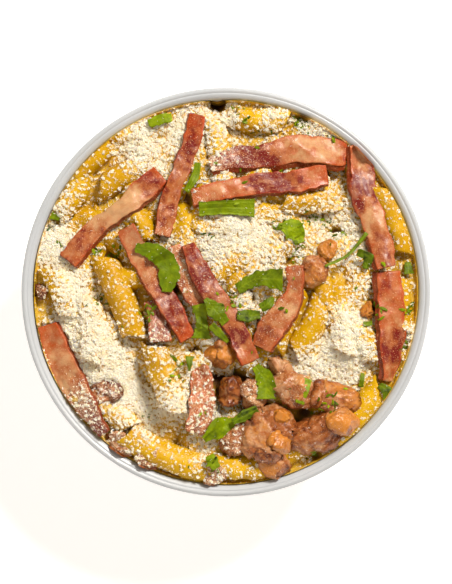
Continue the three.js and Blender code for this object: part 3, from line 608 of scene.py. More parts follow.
def makeStrip(number, path, widths, show, stops):
    node = f"ham_strip_{number:02d}"
    shares, lean, crisp, dust = np.array(stops).T
    crusted = dust.mean() > ham["crust"]
    mesh = refinedCopy(node, ham["levels"], ham["crustCrease"] if crusted else ham["crease"])
    points, facing = coordsOf(mesh), vectorsOf(mesh, "normal")
    share, aside, length, aisle = alongAside(points, path)
    run = share * length
    across = aside / (np.interp(share, np.linspace(0, 1, len(widths)), widths) / 2)
    seed = number * 5.3
    lumps = ham["lumps"] * (ham["crustLumps"] if crusted else 1) * noiseAt(points, ham["lumpSize"], 2, seed)
    fibres = ham["fibres"] * noiseAt(np.column_stack([run, aside * 2.2, points[:, 2]]), 1.0, 2, seed)
    sideways = 1 - ease(np.abs(facing[:, 2]), 0.2, 0.6)
    waves = ham["waves"] * noiseAt(points, ham["waveSize"], 2, seed + 40) * sideways
    points += facing * (lumps * 0.6 + fibres + waves)[:, None]
    points[:, 2] += 0.5 * lumps
    bins = np.clip((share * ham["bins"]).astype(int), 0, ham["bins"] - 1)
    tops = np.array([points[bins == k, 2].max() if (bins == k).any() else 0 for k in range(ham["bins"])])
    depth = np.clip((tops[bins] - points[:, 2]) / ham["thick"], 0, 1)
    points[:, :2] += aisle * (show * ease(depth, 0.15, 1))[:, None]
    points[:, :2] += aisle * ((ham["wider"].get(number, 1) - 1) * aside)[:, None]
    line = np.column_stack([run, 4 * np.sign(aside), 0 * share])
    points[:, :2] += aisle * (ham["edges"] * noiseAt(line, ham["edgeSize"], 2, seed + 80) * across)[:, None]
    line[:, 1] = 0
    points[:, 2] += ham["twist"] * noiseAt(line, ham["twistSize"], 1, seed + 90) * np.clip(across, -1.2, 1.2)
    settle(points)
    setCoords(mesh, points)
    flat = np.column_stack([run, aside, 0 * share])
    place = np.clip(share + ham["warp"] * noiseAt(flat, ham["warpSize"], 2, seed) + 0.02 * across, 0, 1)
    streaks = noiseAt(flat * (0.3, 1, 1), ham["streakSize"], 2, seed + 60)
    mark(mesh, "lean", np.interp(place, shares, lean))
    mark(mesh, "crisp", np.interp(place, shares, crisp) + ham["crispEdge"] * ease(np.abs(across), 0.6, 1.05))
    mark(mesh, "dust", np.interp(share, shares, dust) * ease(facing[:, 2], *facingUp))
    # Steep side faces are painted darker: partly fried edge, partly painted shade.
    mark(mesh, "side", ham["side"] * sideways)
    mark(mesh, "streak", ham["streaks"] * ease(streaks, 0.15, 0.55))
    return asPiece(f"ham_{number:02d}", mesh, cookedHam, "cooked_ham", node)


# Pieces of fried bacon: rind (1 orange), lean (-1 fat, 1 dark), cheese on it

chunks = {
    "levels": 3, "crease": 0.9, "grow": 0.9, "growCluster": 2.0, "firstInCluster": 9, "rindAlone": 0.9,
    "raise": 0.6, "rough": 0.32, "roughSize": 1.3, "fibres": 0.16, "fibreSize": 1.1, "folds": 0.2,
    "cell": 6.4, "fold": 0.16, "bend": 1.4, "slope": 1.0, "cuts": 9, "cut": 1.3, "push": 0.9, "turn": 2.4,
    "topCut": 0.97, "flat": (1, 2, 3, 4, 5, 6, 19, 20), "flatness": 0.65, "square": 0.1,
    "rindSpread": 0.7, "creaseShade": 0.3,
}
bacon = [
    (0.2, 0.5, 0.35), (0.2, 0.6, 0.45), (0.3, 0.3, 0.45), (0.3, -0.2, 0.5), (0.3, 0.6, 0.35),
    (0.7, 0.1, 0.1), (0.5, 0.1, 0.15), (0.5, 0.4, 0.0), (0.1, -0.2, 0.35), (0.0, 0.1, 0.35),
    (0.1, -0.8, 0.15), (0.3, -0.3, 0.2), (0.2, 0.1, 0.12), (0.6, 0.2, 0.08), (0.35, 0.0, 0.1),
    (0.8, 0.1, 0.1), (1.0, -0.2, 0.02), (1.0, -0.2, 0.02), (0.9, -0.3, 0.15), (0.5, 0.0, 0.15),
    (0.9, -0.1, 0.05),
]
cellMix = Vector((12.99, 78.23, 37.72)), Vector((39.35, 11.14, 83.16))


# Every point's cell: how near it is to the cell's edge, two numbers from 0 to 1 for the cell, and
# how far up the cell's own slope it is
def cellsAt(points, size, shift):
    found = []
    for point in points:
        place = Vector(point) / size + Vector((shift, 0, -shift))
        spans, middles = noise.voronoi(place)
        first = math.sin(middles[0].dot(cellMix[0])) * 43758.5
        second = math.sin(middles[0].dot(cellMix[1])) * 24634.6
        slope = (place - middles[0]).dot(Vector((math.sin(first), math.cos(first), math.sin(second))))
        found.append((max(0.0, 1 - (spans[1] - spans[0]) / chunks["fold"]), first % 1, second % 1, slope))
    return np.array(found).T


# Flat broken sides: what stands out past a few planes is pushed back to them
def broken(points, seed):
    middle = points.mean(axis=0)
    for k in range(chunks["cuts"]):
        turn, rise = seed + chunks["turn"] * k, 0.8 * ((0.37 * k + 0.1 * seed) % 1.0)
        if k == 0:
            rise = chunks["topCut"]
        level = math.sqrt(1 - rise ** 2)
        heading = np.array([math.cos(turn) * level, math.sin(turn) * level, rise])
        reach = (points - middle) @ heading
        beyond = np.maximum(reach - reach.max() + chunks["cut"], 0)
        points = points - chunks["push"] * beyond[:, None] * heading
    return points


def makeBacon(number, rind, lean, dust):
    node = f"bacon_piece_{number:02d}"
    mesh = refinedCopy(node, chunks["levels"], chunks["crease"])
    points, facing = coordsOf(mesh), vectorsOf(mesh, "normal")
    seed = number * 7.7
    bends = np.column_stack([noiseAt(points, 3.0, 2, seed + move) for move in (31, 37, 43)])
    edge, first, second, slope = cellsAt(points + chunks["bend"] * bends, chunks["cell"], seed)
    rough = chunks["rough"] * noiseAt(points, chunks["roughSize"], 3, seed)
    turned = points[:, 0] * math.cos(seed) + points[:, 1] * math.sin(seed)
    grained = np.column_stack([0.18 * turned, points[:, 1] - points[:, 0], points[:, 2]])
    fibres = chunks["fibres"] * noiseAt(grained, chunks["fibreSize"], 2, seed + 5)
    inCluster = number >= chunks["firstInCluster"] and rind < chunks["rindAlone"]
    grown = chunks["growCluster"] if inCluster else chunks["grow"]
    grown = grown + rough + fibres + chunks["slope"] * slope
    grown = grown + chunks["raise"] * (first - 0.5) * (1 - edge) - chunks["folds"] * edge ** 2
    if number in chunks["flat"]:
        points[:, 2] -= (1 - chunks["flatness"]) * (points[:, 2] - points[:, 2].mean())
    fromMiddle = points[:, :2] - points[:, :2].mean(axis=0)
    turn = np.arctan2(fromMiddle[:, 1], fromMiddle[:, 0])
    points[:, :2] += chunks["square"] * (np.sin(2 * (turn - seed)) ** 2)[:, None] * fromMiddle
    points = broken(points, seed) + facing * grown[:, None] * ease(facing[:, 2], -0.6, 0.0)[:, None]
    settle(points)
    setCoords(mesh, points)
    rind = rind + chunks["rindSpread"] * (second - 0.5)
    mark(mesh, "rind", rind + 0.2 * noiseAt(points, 5.0, 1, seed + 11))
    mark(mesh, "lean", lean + first - 0.5 + 0.5 * noiseAt(points, 3.5, 2, seed + 21))
    # Darker along the folds between cells: painted shade.
    mark(mesh, "crease", chunks["creaseShade"] * edge ** 2)
    mark(mesh, "dust", dust * ease(facing[:, 2], *facingUp))
    return asPiece(f"bacon_{number:02d}", mesh, friedBacon, "fried_bacon", node)


# Parsley leaves: the midrib, the widths along it, tone (0 dark, 1 yellow green). A low tone is partly the
# leaf's own dark green and partly painted shade for a leaf lying in shadow.

leaf = {
    "levels": 2, "large": 45, "crease": 0.75, "teeth": 0.18, "plainTeeth": 0.3, "toothGap": 3.7,
    "veinGap": 1.7, "veinDepth": 0.12, "veinTone": 0.24, "foldedVeinTone": 0.1, "curl": 0.4, "fold": 0.24,
    "foldReach": 3, "plain": (2, 11, 13, 19, 22), "creased": {1: 3.0, 12: 2.0, 5: 2.0}, "cheese": 0.05,
}
leaves = [
    ([(-33, 16), (-27, 15), (-21, 10), (-21.5, 0)], [3, 7, 8, 9, 4], 0.45),
    ([(-9.8, 30.2), (0.7, 30.8), (10.4, 30.6)], [5.5, 5.5, 7], 0.6),
    ([(19, 24.2), (25, 22.4), (27, 17.8)], [2, 8.5, 4], 0.95),
    ([(4.2, 1), (11, 4.8), (20.6, 4.6)], [4.5, 6, 8.5], 0.4),
    ([(-10, -4.5), (-8.8, -10), (-9.2, -17)], [6, 4, 7.5], 0.55),
    ([(-7.6, -2.5), (-3.8, -6.6), (0, -11.2)], [2, 6.5, 3.5], 0.45),
    ([(-5.5, -12), (-3, -14.6), (0.7, -18.2)], [3, 3.4, 1.2], 0.55),
    ([(4, -8.4), (8, -8.8), (12.4, -8.1)], [3, 5, 3], 0.1),
    ([(12.6, -6), (14.6, -4.8), (17.2, -2)], [3.5, 4.4, 2], 0.25),
    ([(10.8, -27), (14.5, -32.5), (14.5, -39)], [3.5, 7.5, 7], 0.6),
    ([(30, -31.6), (28.4, -36), (26.7, -40.6)], [3, 3.8, 3.4], 0.8),
    ([(-8, -54), (-2.6, -50), (5.2, -47.5)], [2.5, 8.5, 3], 0.7),
    # This leaf lies in shadow; its tone 0.0 is painted shade.
    ([(2.4, -47.4), (7, -45), (11.5, -42.6)], [2, 5, 3], 0.0),
    ([(-6.2, -59.6), (-5, -62), (-3.4, -64.4)], [3.4, 5, 3], 0.75),
    ([(36, 9.4), (44.4, 13.4), (49, 18.6), (51.4, 21.6)], [0.9, 1.1, 1.2, 1.6], 0.4),
    ([(47.9, 14.6), (52, 13), (50.9, 8.4)], [2.5, 4.4, 2.5], 0.2),
    ([(66.6, 11), (67, 6.6)], [2.4, 4], 0.3),
    ([(-28.4, 61.6), (-24.2, 63), (-19.8, 64)], [3, 4.4, 3.4], 0.8),
    ([(-10.3, 47.2), (-11, 42.5), (-14.6, 36.6)], [2.4, 3.4, 2.2], 0.6),
    ([(-64.6, 28.4), (-61, 26.6)], [3.6, 1.4], 0.6),
    ([(-13.2, -23.4), (-13.4, -28.8)], [3.2, 1], 0.35),
    ([(50.1, -29.7), (49.4, -34.8)], [1.6, 2], 0.5),
    ([(56, -33.9), (58.6, -36), (58.4, -39.6)], [2, 4.6, 2.4], 0.25),
    ([(50.1, -11.8), (53.4, -11.4)], [2.2, 2], 0.5),
]


def makeLeaf(number, path, widths, tone):
    node = f"parsley_{number:02d}"
    size = smoothPath(path)[1] * max(widths)
    mesh = refinedCopy(node, leaf["levels"] + (size > leaf["large"]), leaf["crease"])
    points = coordsOf(mesh)
    share, aside, length, aisle = alongAside(points, path)
    half = np.interp(share, np.linspace(0, 1, len(widths)), widths) / 2
    across, run, seed = aside / half, share * length, number * 2.9
    ragged = noiseAt(np.column_stack([run, np.sign(across) * 5, 0 * share]), 1.6, 2, seed)
    tooth = ((run + 0.4 * seed + np.sign(across)) / leaf["toothGap"]) % 1.0
    plain = number in leaf["plain"]
    teeth = leaf["teeth"] * (leaf["plainTeeth"] if plain else 1) * np.minimum(half, 3)
    teeth = teeth * ease(np.abs(across), 0.4, 1.0) * (1.3 * ragged + 0.5 * (tooth - 0.6))
    points[:, :2] += aisle * (np.sign(across) * teeth)[:, None]
    branches = ((run - 0.9 * np.abs(aside)) / leaf["veinGap"] + 0.25 * np.sin(seed)) % 1.0
    branches = ease(np.abs(branches - 0.5) * 2, 0.7, 0.95)
    vein = np.maximum(1 - np.abs(across) * 6, 0) + 0.8 * branches * (1 - 0.4 * np.abs(across))
    if plain:
        vein = ease(np.cos(across * 9 + 0.5 * ragged), 0.3, 0.9)
    vein = np.clip(vein, 0, 1)
    bend = np.abs(run - length * (0.35 + 0.3 * math.sin(seed) ** 2) - 0.5 * aside)
    points[:, 2] += leaf["curl"] * noiseAt(points, 3.2, 1, seed) - leaf["veinDepth"] * vein
    folded = leaf["creased"].get(number, 1) * (leaf["foldReach"] - np.minimum(bend, leaf["foldReach"]))
    points[:, 2] += leaf["fold"] * (folded - leaf["foldReach"] / 2)
    setCoords(mesh, points)
    mark(mesh, "vein", leaf["foldedVeinTone" if number in leaf["creased"] else "veinTone"] * vein)
    # The tone is darker along the fold line: painted shade in the crease.
    mark(mesh, "tone", np.clip(tone + 0.3 * noiseAt(points, 2.4, 2, seed) - 0.16 * ease(bend, 2, 0), 0, 1))
    mark(mesh, "dust", np.full(len(points), leaf["cheese"]))
    return asPiece(f"leaf_{number:02d}", mesh, parsleyLeaf, "parsley_leaf", node)


toppings = []
for make, entries in ((makeStrip, strips), (makeBacon, bacon), (makeLeaf, leaves)):
    toppings += [make(number, *entry) for number, entry in enumerate(entries, 1)]
    print("toppings laid:", len(toppings))

# What the toppings leave under them: the lowest point over each cell of the heap

under = {"cell": 1.0, "side": 152, "clear": 0.35, "blur": 5}


def cellsOf(x, y):
    column = np.rint(np.asarray(x) / under["cell"] + under["side"] / 2).astype(int)
    row = np.rint(np.asarray(y) / under["cell"] + under["side"] / 2).astype(int)
    return np.clip(row, 0, under["side"] - 1), np.clip(column, 0, under["side"] - 1)


def mapUnderside(pieces):
    ceiling = np.full((under["side"], under["side"]), np.inf)
    for piece in pieces:
        points = coordsOf(piece.data)
        np.minimum.at(ceiling, cellsOf(points[:, 0], points[:, 1]), points[:, 2])
    covered = np.isfinite(ceiling).astype(float)
    for _ in range(under["blur"]):
        for axis in (0, 1):
            covered = (np.roll(covered, 1, axis) + covered + np.roll(covered, -1, axis)) / 3
    return ceiling, np.clip(covered * 2, 0, 1)


ceiling, covered = mapUnderside(toppings)

# The pasta tubes: both ends, how far the axis stands over the heap, the width

tube = {
    "wall": 1.3, "slant": 0.55, "bend": 1.1, "sides": 30, "rows": 18, "dents": 0.6, "dentSize": 4.6,
    "bumps": 0.16, "bumpSize": 1.7, "sway": 1.1, "dip": 0.8, "deepestDip": 5, "roll": 0.9, "weld": 1e-4,
    "gap": 0.3,
}
bareTubes = [
    ((-44, 12), (-32.5, -17), 1.6, 9.6), ((17.5, -21), (27, 1), 1.4, 9.8), ((25, -22), (35, -4), 1.0, 9.2),
    ((32, 12), (36.5, -6), 1.4, 7.4), ((-35.5, 33), (-27, 18), 1.0, 7.6),
    ((-38, -52), (-6, -66), 1.6, 10.2), ((56, 38), (65, 14), 0.8, 9.4), ((63.5, 5), (65.5, -15), 0.6, 8.4),
    ((41, -53), (57, -34), 1.2, 10), ((-56, 41), (-43, 53), 1.2, 9), ((-62, 27), (-51, 45), 0.6, 8.6),
    ((-46, 38), (-29, 46.5), 1.0, 9.4), ((-64, 8), (-57, -9), 0.4, 8.8),
    ((-6, -63), (17, -63.5), 0.8, 9.4), ((19, -61), (38, -52), 0.8, 9.2),
    ((-27, -19), (-19, -43), 2.2, 9.4), ((2, 64), (22, 63), 0.6, 8.8),
    ((-54, -37), (-35, -49.5), 0.3, 9.2), ((-10, 26), (10, 22), -2.4, 9), ((20, 33), (39, 33), 0.8, 8.8),
    ((46, -12), (54, -25), 0.8, 8.6), ((-42, 58), (-21, 62), -1.2, 9),
]
buried = {
    "seed": 41, "wanted": 12, "tries": 900, "apart": 10.5, "longest": 34, "shortest": 24, "wide": 9.2,
    "lift": (-2.2, 1.6), "out": 62, "within": 65,
}
filling = {
    "seed": 97, "wanted": 60, "tries": 9000, "apart": 4.6, "length": (20, 34), "wide": (8.6, 10.4),
    "lift": (-1.6, 1.0), "deepest": -4.2, "out": 64, "within": 66, "offMounds": 0.45, "offPits": 1,
}


def seededDraws(seed):
    state = seed
    while True:
        state = (state * 1664525 + 1013904223) & 0xFFFFFFFF
        yield state / 4294967296


def segmentDistance(point, ends):
    start, end = np.array(ends[0], float), np.array(ends[1], float)
    along = end - start
    share = np.clip(((point - start) @ along) / (along @ along), 0, 1)
    return np.hypot(*(point - start - share * along))


# Both ends and the middle of a tube from its place around the heap and its direction
def endsFrom(out, around, heading, half):
    middle = np.array([out * math.cos(around), out * math.sin(around)])
    reach = half * np.array([math.cos(heading), math.sin(heading)])
    start, end = middle - reach, middle + reach
    return middle, start, end, max(np.hypot(*start), np.hypot(*end))


def scatteredTubes(laid):
    draw = seededDraws(buried["seed"])
    tubes = []
    for _ in range(buried["tries"]):
        if len(tubes) == buried["wanted"]:
            break
        around = next(draw) * math.tau
        out = math.sqrt(next(draw)) * buried["out"]
        heading = next(draw) * math.pi
        half = (buried["shortest"] + (buried["longest"] - buried["shortest"]) * next(draw)) / 2
        lift = buried["lift"][0] + buried["lift"][1] * next(draw)
        middle, start, end, farthest = endsFrom(out, around, heading, half)
        crowded = any(segmentDistance(middle, other) < buried["apart"] for other in laid + tubes)
        if farthest <= buried["within"] and not crowded:
            tubes.append((start, end, lift, buried["wide"]))
    return tubes


# More tubes between those, each as high as the toppings over it allow
def fillingTubes(laid):
    draws = np.random.RandomState(filling["seed"])
    tubes = []
    for _ in range(filling["tries"]):
        out, around = math.sqrt(draws.uniform(0, 1)) * filling["out"], draws.uniform(0, math.tau)
        heading, half = draws.uniform(0, math.pi), draws.uniform(*filling["length"]) / 2
        lift, wide = draws.uniform(*filling["lift"]), draws.uniform(*filling["wide"])
        middle, start, end, farthest = endsFrom(out, around, heading, half)
        if farthest > filling["within"] or len(tubes) == filling["wanted"]:
            continue
        near = min(segmentDistance(point, other) for point in (middle, start, end) for other in laid + tubes)
        taken = moundAt(*middle) > filling["offMounds"] or sumOfSpots(pits, *middle) > filling["offPits"]
        if near < filling["apart"] or taken:
            continue
        for share in np.linspace(0, 1, 9):
            point = start + share * (end - start)
            axis = (1 - share) * heapHeight(*start) + share * heapHeight(*end)
            for aside in np.linspace(-0.4, 0.4, 5) * wide:
                spot = point + aside * np.array([-math.sin(heading), math.cos(heading)])
                top = axis + math.sqrt((wide / 2) ** 2 - aside ** 2)
                lift = min(lift, ceiling[cellsOf(*spot)] - under["clear"] - top)
        if lift > filling["deepest"]:
            tubes.append((start, end, lift, wide))
    return tubes


def tubeBlank(length, wide):
    outer = wide / 2
    inner = outer - tube["wall"]
    lip = tube["wall"] / 2
    half = length / 2
    wall = [(x, outer) for x in np.linspace(-half + lip, half - lip, tube["rows"])]
    hollow = [(x, inner) for x in np.linspace(half - lip, -half + lip, tube["rows"] // 2)]
    nearLip = [(-half + 0.25, inner + 0.2), (-half, inner + lip), (-half + 0.2, outer - 0.2)]
    farLip = [(-x, radius) for x, radius in reversed(nearLip)]
    outline = nearLip + wall + farLip + hollow
    bm = spun([(x, radius, 0) for x, radius in outline], (1, 0, 0), tube["sides"], closed=True)
    bmesh.ops.remove_doubles(bm, verts=bm.verts, dist=tube["weld"])
    bmesh.ops.recalc_face_normals(bm, faces=bm.faces)
    return bm


def layTube(ends, lift, wide, roll, number):
    start, end = (np.array([*place, heapHeight(*place) + lift]) for place in ends)
    length = np.linalg.norm(end - start)
    along = (end - start) / length
    across = np.cross([0, 0, 1], along)
    across /= np.linalg.norm(across)
    up = np.cross(along, across)
    bm = tubeBlank(length, wide)
    points = np.array([vert.co for vert in bm.verts])
    points[:, 0] += tube["slant"] * points[:, 1]
    points[:, 2] -= tube["bend"] * (2 * points[:, 0] / length) ** 2
    cos, sin = math.cos(roll), math.sin(roll)
    points[:, 1:] = points[:, 1:] @ np.array([[cos, sin], [-sin, cos]])
    points[:, 1] += tube["sway"] * math.sin(number * 2.3) * (1 - (2 * points[:, 0] / length) ** 2)
    dent = tube["dents"] * noiseAt(points, tube["dentSize"], 2, number * 3.1)
    dent = dent + tube["bumps"] * noiseAt(points, tube["bumpSize"], 2, number)
    points[:, 1:] *= (1 + dent / (wide / 2))[:, None]
    points = (start + end) / 2 + points[:, :1] * along + points[:, 1:2] * across + points[:, 2:] * up
    out = outOf(points)
    allowed = np.minimum(heap["reach"], innerWallAt(points[:, 2]) - tube["gap"])
    points[:, :2] *= np.minimum(allowed / np.maximum(out, 1e-6), 1)[:, None]
    for vert, point in zip(bm.verts, points):
        vert.co = point * mm
    return bm


def makeTubes():
    draw = seededDraws(7)
    joined = bmesh.new()
    joined.verts.layers.float.new("tone")
    tubes = bareTubes + scatteredTubes(bareTubes)
    tubes += fillingTubes(tubes)
    print("tubes:", len(tubes))
    for number, (start, end, lift, wide) in enumerate(tubes):
        bm = layTube((start, end), lift, wide, tube["roll"] * (2 * next(draw) - 1), number)
        shade = bm.verts.layers.float.new("tone")
        for vert in bm.verts:
            vert[shade] = (number * 0.37) % 1.0
        single = meshFrom(bm)
        joined.from_mesh(single)
        bpy.data.meshes.remove(single)
    mesh = meshFrom(joined)
    points = coordsOf(mesh)
    points[:, 2] -= tube["dip"] * np.minimum(sumOfSpots(pits, points[:, 0], points[:, 1]), tube["deepestDip"])
    setCoords(mesh, points)
    mark(mesh, "dust", cheeseAt(points[:, 0], points[:, 1]))
    return asPiece("penne", mesh, cookedPasta, "cooked_pasta", "pasta_heap")


penne = makeTubes()
print("pasta laid:", len(penne.data.vertices), "vertices")


# The triangles of some pieces in one search tree, with the cheese at each corner
def gatherSurface(pieces):
    corners, faces, dust = [], [], []
    count = 0
    for piece in pieces:
        mesh = piece.data
        mesh.calc_loop_triangles()
        trios = np.empty(len(mesh.loop_triangles) * 3, np.int32)
        mesh.loop_triangles.foreach_get("vertices", trios)
        cheese = np.empty(len(mesh.vertices), np.float32)
        mesh.attributes["dust"].data.foreach_get("value", cheese)
        corners.append(coordsOf(mesh))
        faces.append(trios.reshape(-1, 3) + count)
        dust.append(cheese)
        count += len(cheese)
    corners, faces = np.vstack(corners), np.vstack(faces)
    return BVHTree.FromPolygons(corners.tolist(), faces.tolist()), faces, np.concatenate(dust)


nowhere = 100
down = Vector((0, 0, -1))


# The height of a piece under each point from above
def topsOf(piece, flat):
    tree = gatherSurface([piece])[0]
    tops = np.full(len(flat), -float(nowhere))
    for index, (x, y, _) in enumerate(flat):
        place = tree.ray_cast(Vector((x, y, nowhere)), down)[0]
        if place is not None:
            tops[index] = place.z
    return tops


# The sauce and the cheese over the tubes: a bed that rises over what lies in it

core = {
    "cells": 305, "rim": 70.45, "innerFrom": 69.4, "relief": 0.55, "grain": 1.2, "lumps": 0.5,
    "lumpSize": 4.5, "drop": 2.0, "brim": 1.8, "brimFrom": (63, 68), "brimLumps": 0.8, "atRim": 2.8,
    "layer": 2.2, "thickest": 1.5, "even": 0.72, "layerLumps": 0.5, "clear": 0.15, "spill": 150,
    "side": 50.0, "bottom": 7.2,
}


# The grains' hills and hollows, about -0.7 to 0.7
def hillAt(x, y):
    return noise.fractal(Vector((x / core["grain"] + 9, y / core["grain"] + 6, 0)), 0.8, 2.0, 3)


# Loose cheese fills the hollows between what it lies on
def filled(heights, share):
    side = round(math.sqrt(len(heights)))
    level = heights.reshape(side, side)
    for _ in range(core["spill"]):
        wide = np.pad(level, 1, mode="edge")
        level = (wide[:-2, 1:-1] + wide[2:, 1:-1] + wide[1:-1, :-2] + wide[1:-1, 2:]) / 4
    return heights + np.maximum(level.ravel() - heights, 0) * share


# A round blank: a square grid with two rows of sides and a bottom, drawn out to a disc. With it
# come the counts of vertices in the top and in the top with the first row.
def coreBlank():
    bm = bmesh.new()
    bmesh.ops.create_grid(bm, x_segments=core["cells"], y_segments=core["cells"], size=1.0)
    counts = []
    for _ in range(2):
        counts.append(len(bm.verts))
        border = [edge for edge in bm.edges if edge.is_boundary]
        bmesh.ops.extrude_edge_only(bm, edges=border)
    bmesh.ops.contextual_create(bm, geom=[edge for edge in bm.edges if edge.is_boundary])
    mesh = meshFrom(bm)
    x, y, _ = vectorsOf(mesh, "co").T
    wide, deep = (side * np.sqrt(np.maximum(1 - other ** 2 / 2, 0)) for side, other in ((x, y), (y, x)))
    return mesh, np.column_stack([wide, deep, np.zeros(len(x))]) * core["rim"], *counts


def makeCore():
    mesh, points, topCount, sideCount = coreBlank()
    flat = points[:topCount].copy()
    x, y = flat[:, 0], flat[:, 1]
    out = outOf(flat)
    inner = 1 - ease(out, core["innerFrom"], core["rim"])
    cells = cellsOf(x, y)
    cheese, pitDepthAndShade = cheeseAt(x, y), sumOfSpots(pits, x, y)
    hills = np.array([hillAt(*place) for place in flat[:, :2]])
    relief = core["relief"] * hills * (0.3 + 0.7 * cheese)
    swell = core["lumps"] * noiseAt(flat, core["lumpSize"], 2, 3.0)
    free = 1 - np.maximum(covered[cells], moundAt(x, y))
    bed = heapHeight(x, y) + (swell + relief - core["drop"] * free) * inner
    atWall = ease(out, *core["brimFrom"]) * (1 - covered[cells])
    bed += (atWall * (core["brim"] + core["brimLumps"] * noiseAt(flat, 3.0, 2, 15.0)) - pitDepthAndShade) * inner
    bed += core["atRim"] * (1 - inner)
    layer = core["layer"] * (np.minimum(thickAt(x, y), core["thickest"]) - core["even"]) + relief
    layer += core["layerLumps"] * noiseAt(flat, 3.2, 2, 21.0)
    over = np.where((pitDepthAndShade < 1) & (inner > 0.3), topsOf(penne, flat) + layer, -nowhere)
    limit = np.where(inner > 0.3, ceiling[cells] - core["clear"], nowhere)
    share = ease(cheese, 0.55, 0.95) * (1 - ease(pitDepthAndShade, 0.3, 1)) * ease(inner, 0.8, 1)
    height = filled(np.minimum(np.maximum(bed, over), limit) - relief * inner, share) + relief * inner
    points[:topCount, 2] = np.minimum(height, limit)
    # The side follows the bowl's wall, a gap clear of it
    for rows, z in ((slice(topCount, sideCount), core["side"]), (slice(sideCount, None), core["bottom"])):
        points[rows, :2] *= (innerWallAt(z) - tube["gap"]) / core["rim"]
        points[rows, 2] = z
    setCoords(mesh, points)
    dust = np.where(over > bed, cheese * (0.4 + 0.6 * ease(layer, -0.4, 0.5)), cheese)
    dust = dust * (1 - ease(pitDepthAndShade, 0.5, 2))
    below = np.zeros(len(points) - topCount)
    mark(mesh, "dust", np.concatenate([dust, below + heap["cover"]]))
    mark(mesh, "hill", np.concatenate([0.5 + 0.7 * hills, below]))
    # The pit mask paints the bottoms of pits dark brown: painted shade.
    mark(mesh, "pitDepthAndShade", np.concatenate([ease(pitDepthAndShade, 0.8, 2.4), below]))
    bm = bmesh.new()
    bm.from_mesh(mesh)
    bmesh.ops.recalc_face_normals(bm, faces=bm.faces)
    bm.to_mesh(mesh)
    bm.free()
    return asPiece("sauce_and_cheese", mesh, sauceAndCheese, "cooked_pasta", "pasta_heap")


blanket = makeCore()
print("core made:", len(blanket.data.vertices), "vertices")

# Grated cheese: small things of a few faces each, fallen straight down on what is there.
# Each kind is one mesh.

fall = {
    "reach": 70.2, "batch": 4000, "hills": 0.95, "cap": 0.85, "onTop": 0.75, "patch": 0.3, "patchSize": 6.5,
    "over": 0.35, "steepest": 0.2, "steepFade": 0.35, "stray": 0.05, "seed": 20,
}
kinds = {  # how many, size, shape, how far it sinks in, how high it piles up, how uneven, from what cover on
    "cheese_flakes": (47000, (0.36, 0.72), "flake", 0.08, 0.5, 0.6, 0.46),
    "cheese_curls": (13500, (0.7, 1.3), "curl", 0.05, 0.4, 0.3, 0.46),
    "cheese_slivers": (23000, (0.5, 1.0), "sliver", 0.0, 0.6, 0.3, 0.34),
    "cheese_crumbs": (47000, (0.34, 0.66), "crumb", 0.15, 0.4, 0.5, 0.6),
    "cheese_dust": (48000, (0.2, 0.38), "speck", 0.04, 0.6, 0.35, 0.2),
}
flecks = (300, (0.7, 2.0), "fleck", 0.15, 0, 0.4, 0)
fleckFall = {"loose": 24, "spread": 34, "reach": 69}
fleckSpots = [  # x, y, how far they spread, their share
    (-47, -3.5, 1.6, 3), (32, 27, 2.2, 4), (40, 21, 1.8, 3), (38.5, -40.5, 2.2, 4), (-19, 18.7, 1, 1),
    (-7, 21, 1.4, 1), (-48, 15.3, 1.2, 2), (-40, 14, 2, 3), (12, 58, 1.2, 1), (6, 64, 1.8, 3),
    (39.7, 58, 1, 1), (28.6, 63, 2, 5), (18.5, 24, 1.6, 3), (-29, -7.5, 1.8, 3), (-18, -27.7, 1.6, 3),
    (-8, -44.3, 1, 1), (1.8, -3, 2, 4), (31.6, -60, 1.2, 2), (67.4, -6.5, 1.6, 3), (67.4, -19.6, 1.2, 2),
    (26, 16, 2, 4), (-62, 17, 1.4, 2), (-5, -62, 1.6, 2), (-29, -45, 1, 1), (56, -8, 1.4, 2),
    (-66, 24, 1.6, 2),
]
shapes = {  # sides, lower and upper radius, height, stretched in x and y, lying down
    "flake": (3, 0.55, 0.0, 0.5, (1.35, 0.75), False), "crumb": (3, 0.58, 0.0, 0.75, (1, 1), False),
    "speck": (3, 0.55, 0.0, 0.8, (1, 1), False), "sliver": (3, 0.2, 0.08, 1.0, (1, 1), True),
    "curl": (3, 0.14, 0.14, 1.0, (1, 1), True), "fleck": (6, 0.5, 0.42, 0.1, (1.5, 0.7), False),
}

surface, surfaceFaces, surfaceDust = gatherSurface([blanket, penne] + toppings)
surfaceDust[len(blanket.data.vertices) + len(penne.data.vertices):] *= fall["onTop"]
print("surface gathered:", len(surfaceFaces), "triangles")


def bendCurl(bm):
    long = [edge for edge in bm.edges if abs(edge.verts[0].co.x - edge.verts[1].co.x) > 0.5]
    bmesh.ops.subdivide_edges(bm, edges=long, cuts=1)
    for vert in bm.verts:
        vert.co.z += 0.22 - 0.9 * vert.co.x ** 2
        if abs(vert.co.x) > 0.4:
            vert.co.y *= 0.4


def unitShape(shape):
    sides, lower, upper, height, (wide, deep), lying = shapes[shape]
    bm = bmesh.new()
    bmesh.ops.create_cone(bm, cap_ends=True, segments=sides, radius1=lower, radius2=upper, depth=height)
    bmesh.ops.scale(bm, verts=bm.verts, vec=(wide, deep, 1.0))
    if lying:
        bmesh.ops.rotate(bm, verts=bm.verts, matrix=Matrix.Rotation(math.pi / 2, 3, "Y"))
    if shape == "curl":
        bendCurl(bm)
    bmesh.ops.triangulate(bm, faces=bm.faces)
    bmesh.ops.recalc_face_normals(bm, faces=bm.faces)
    bm.verts.index_update()
    corners = np.array([vert.co for vert in bm.verts])
    faces = np.array([[vert.index for vert in face.verts] for face in bm.faces])
    bm.free()
    return corners, faces


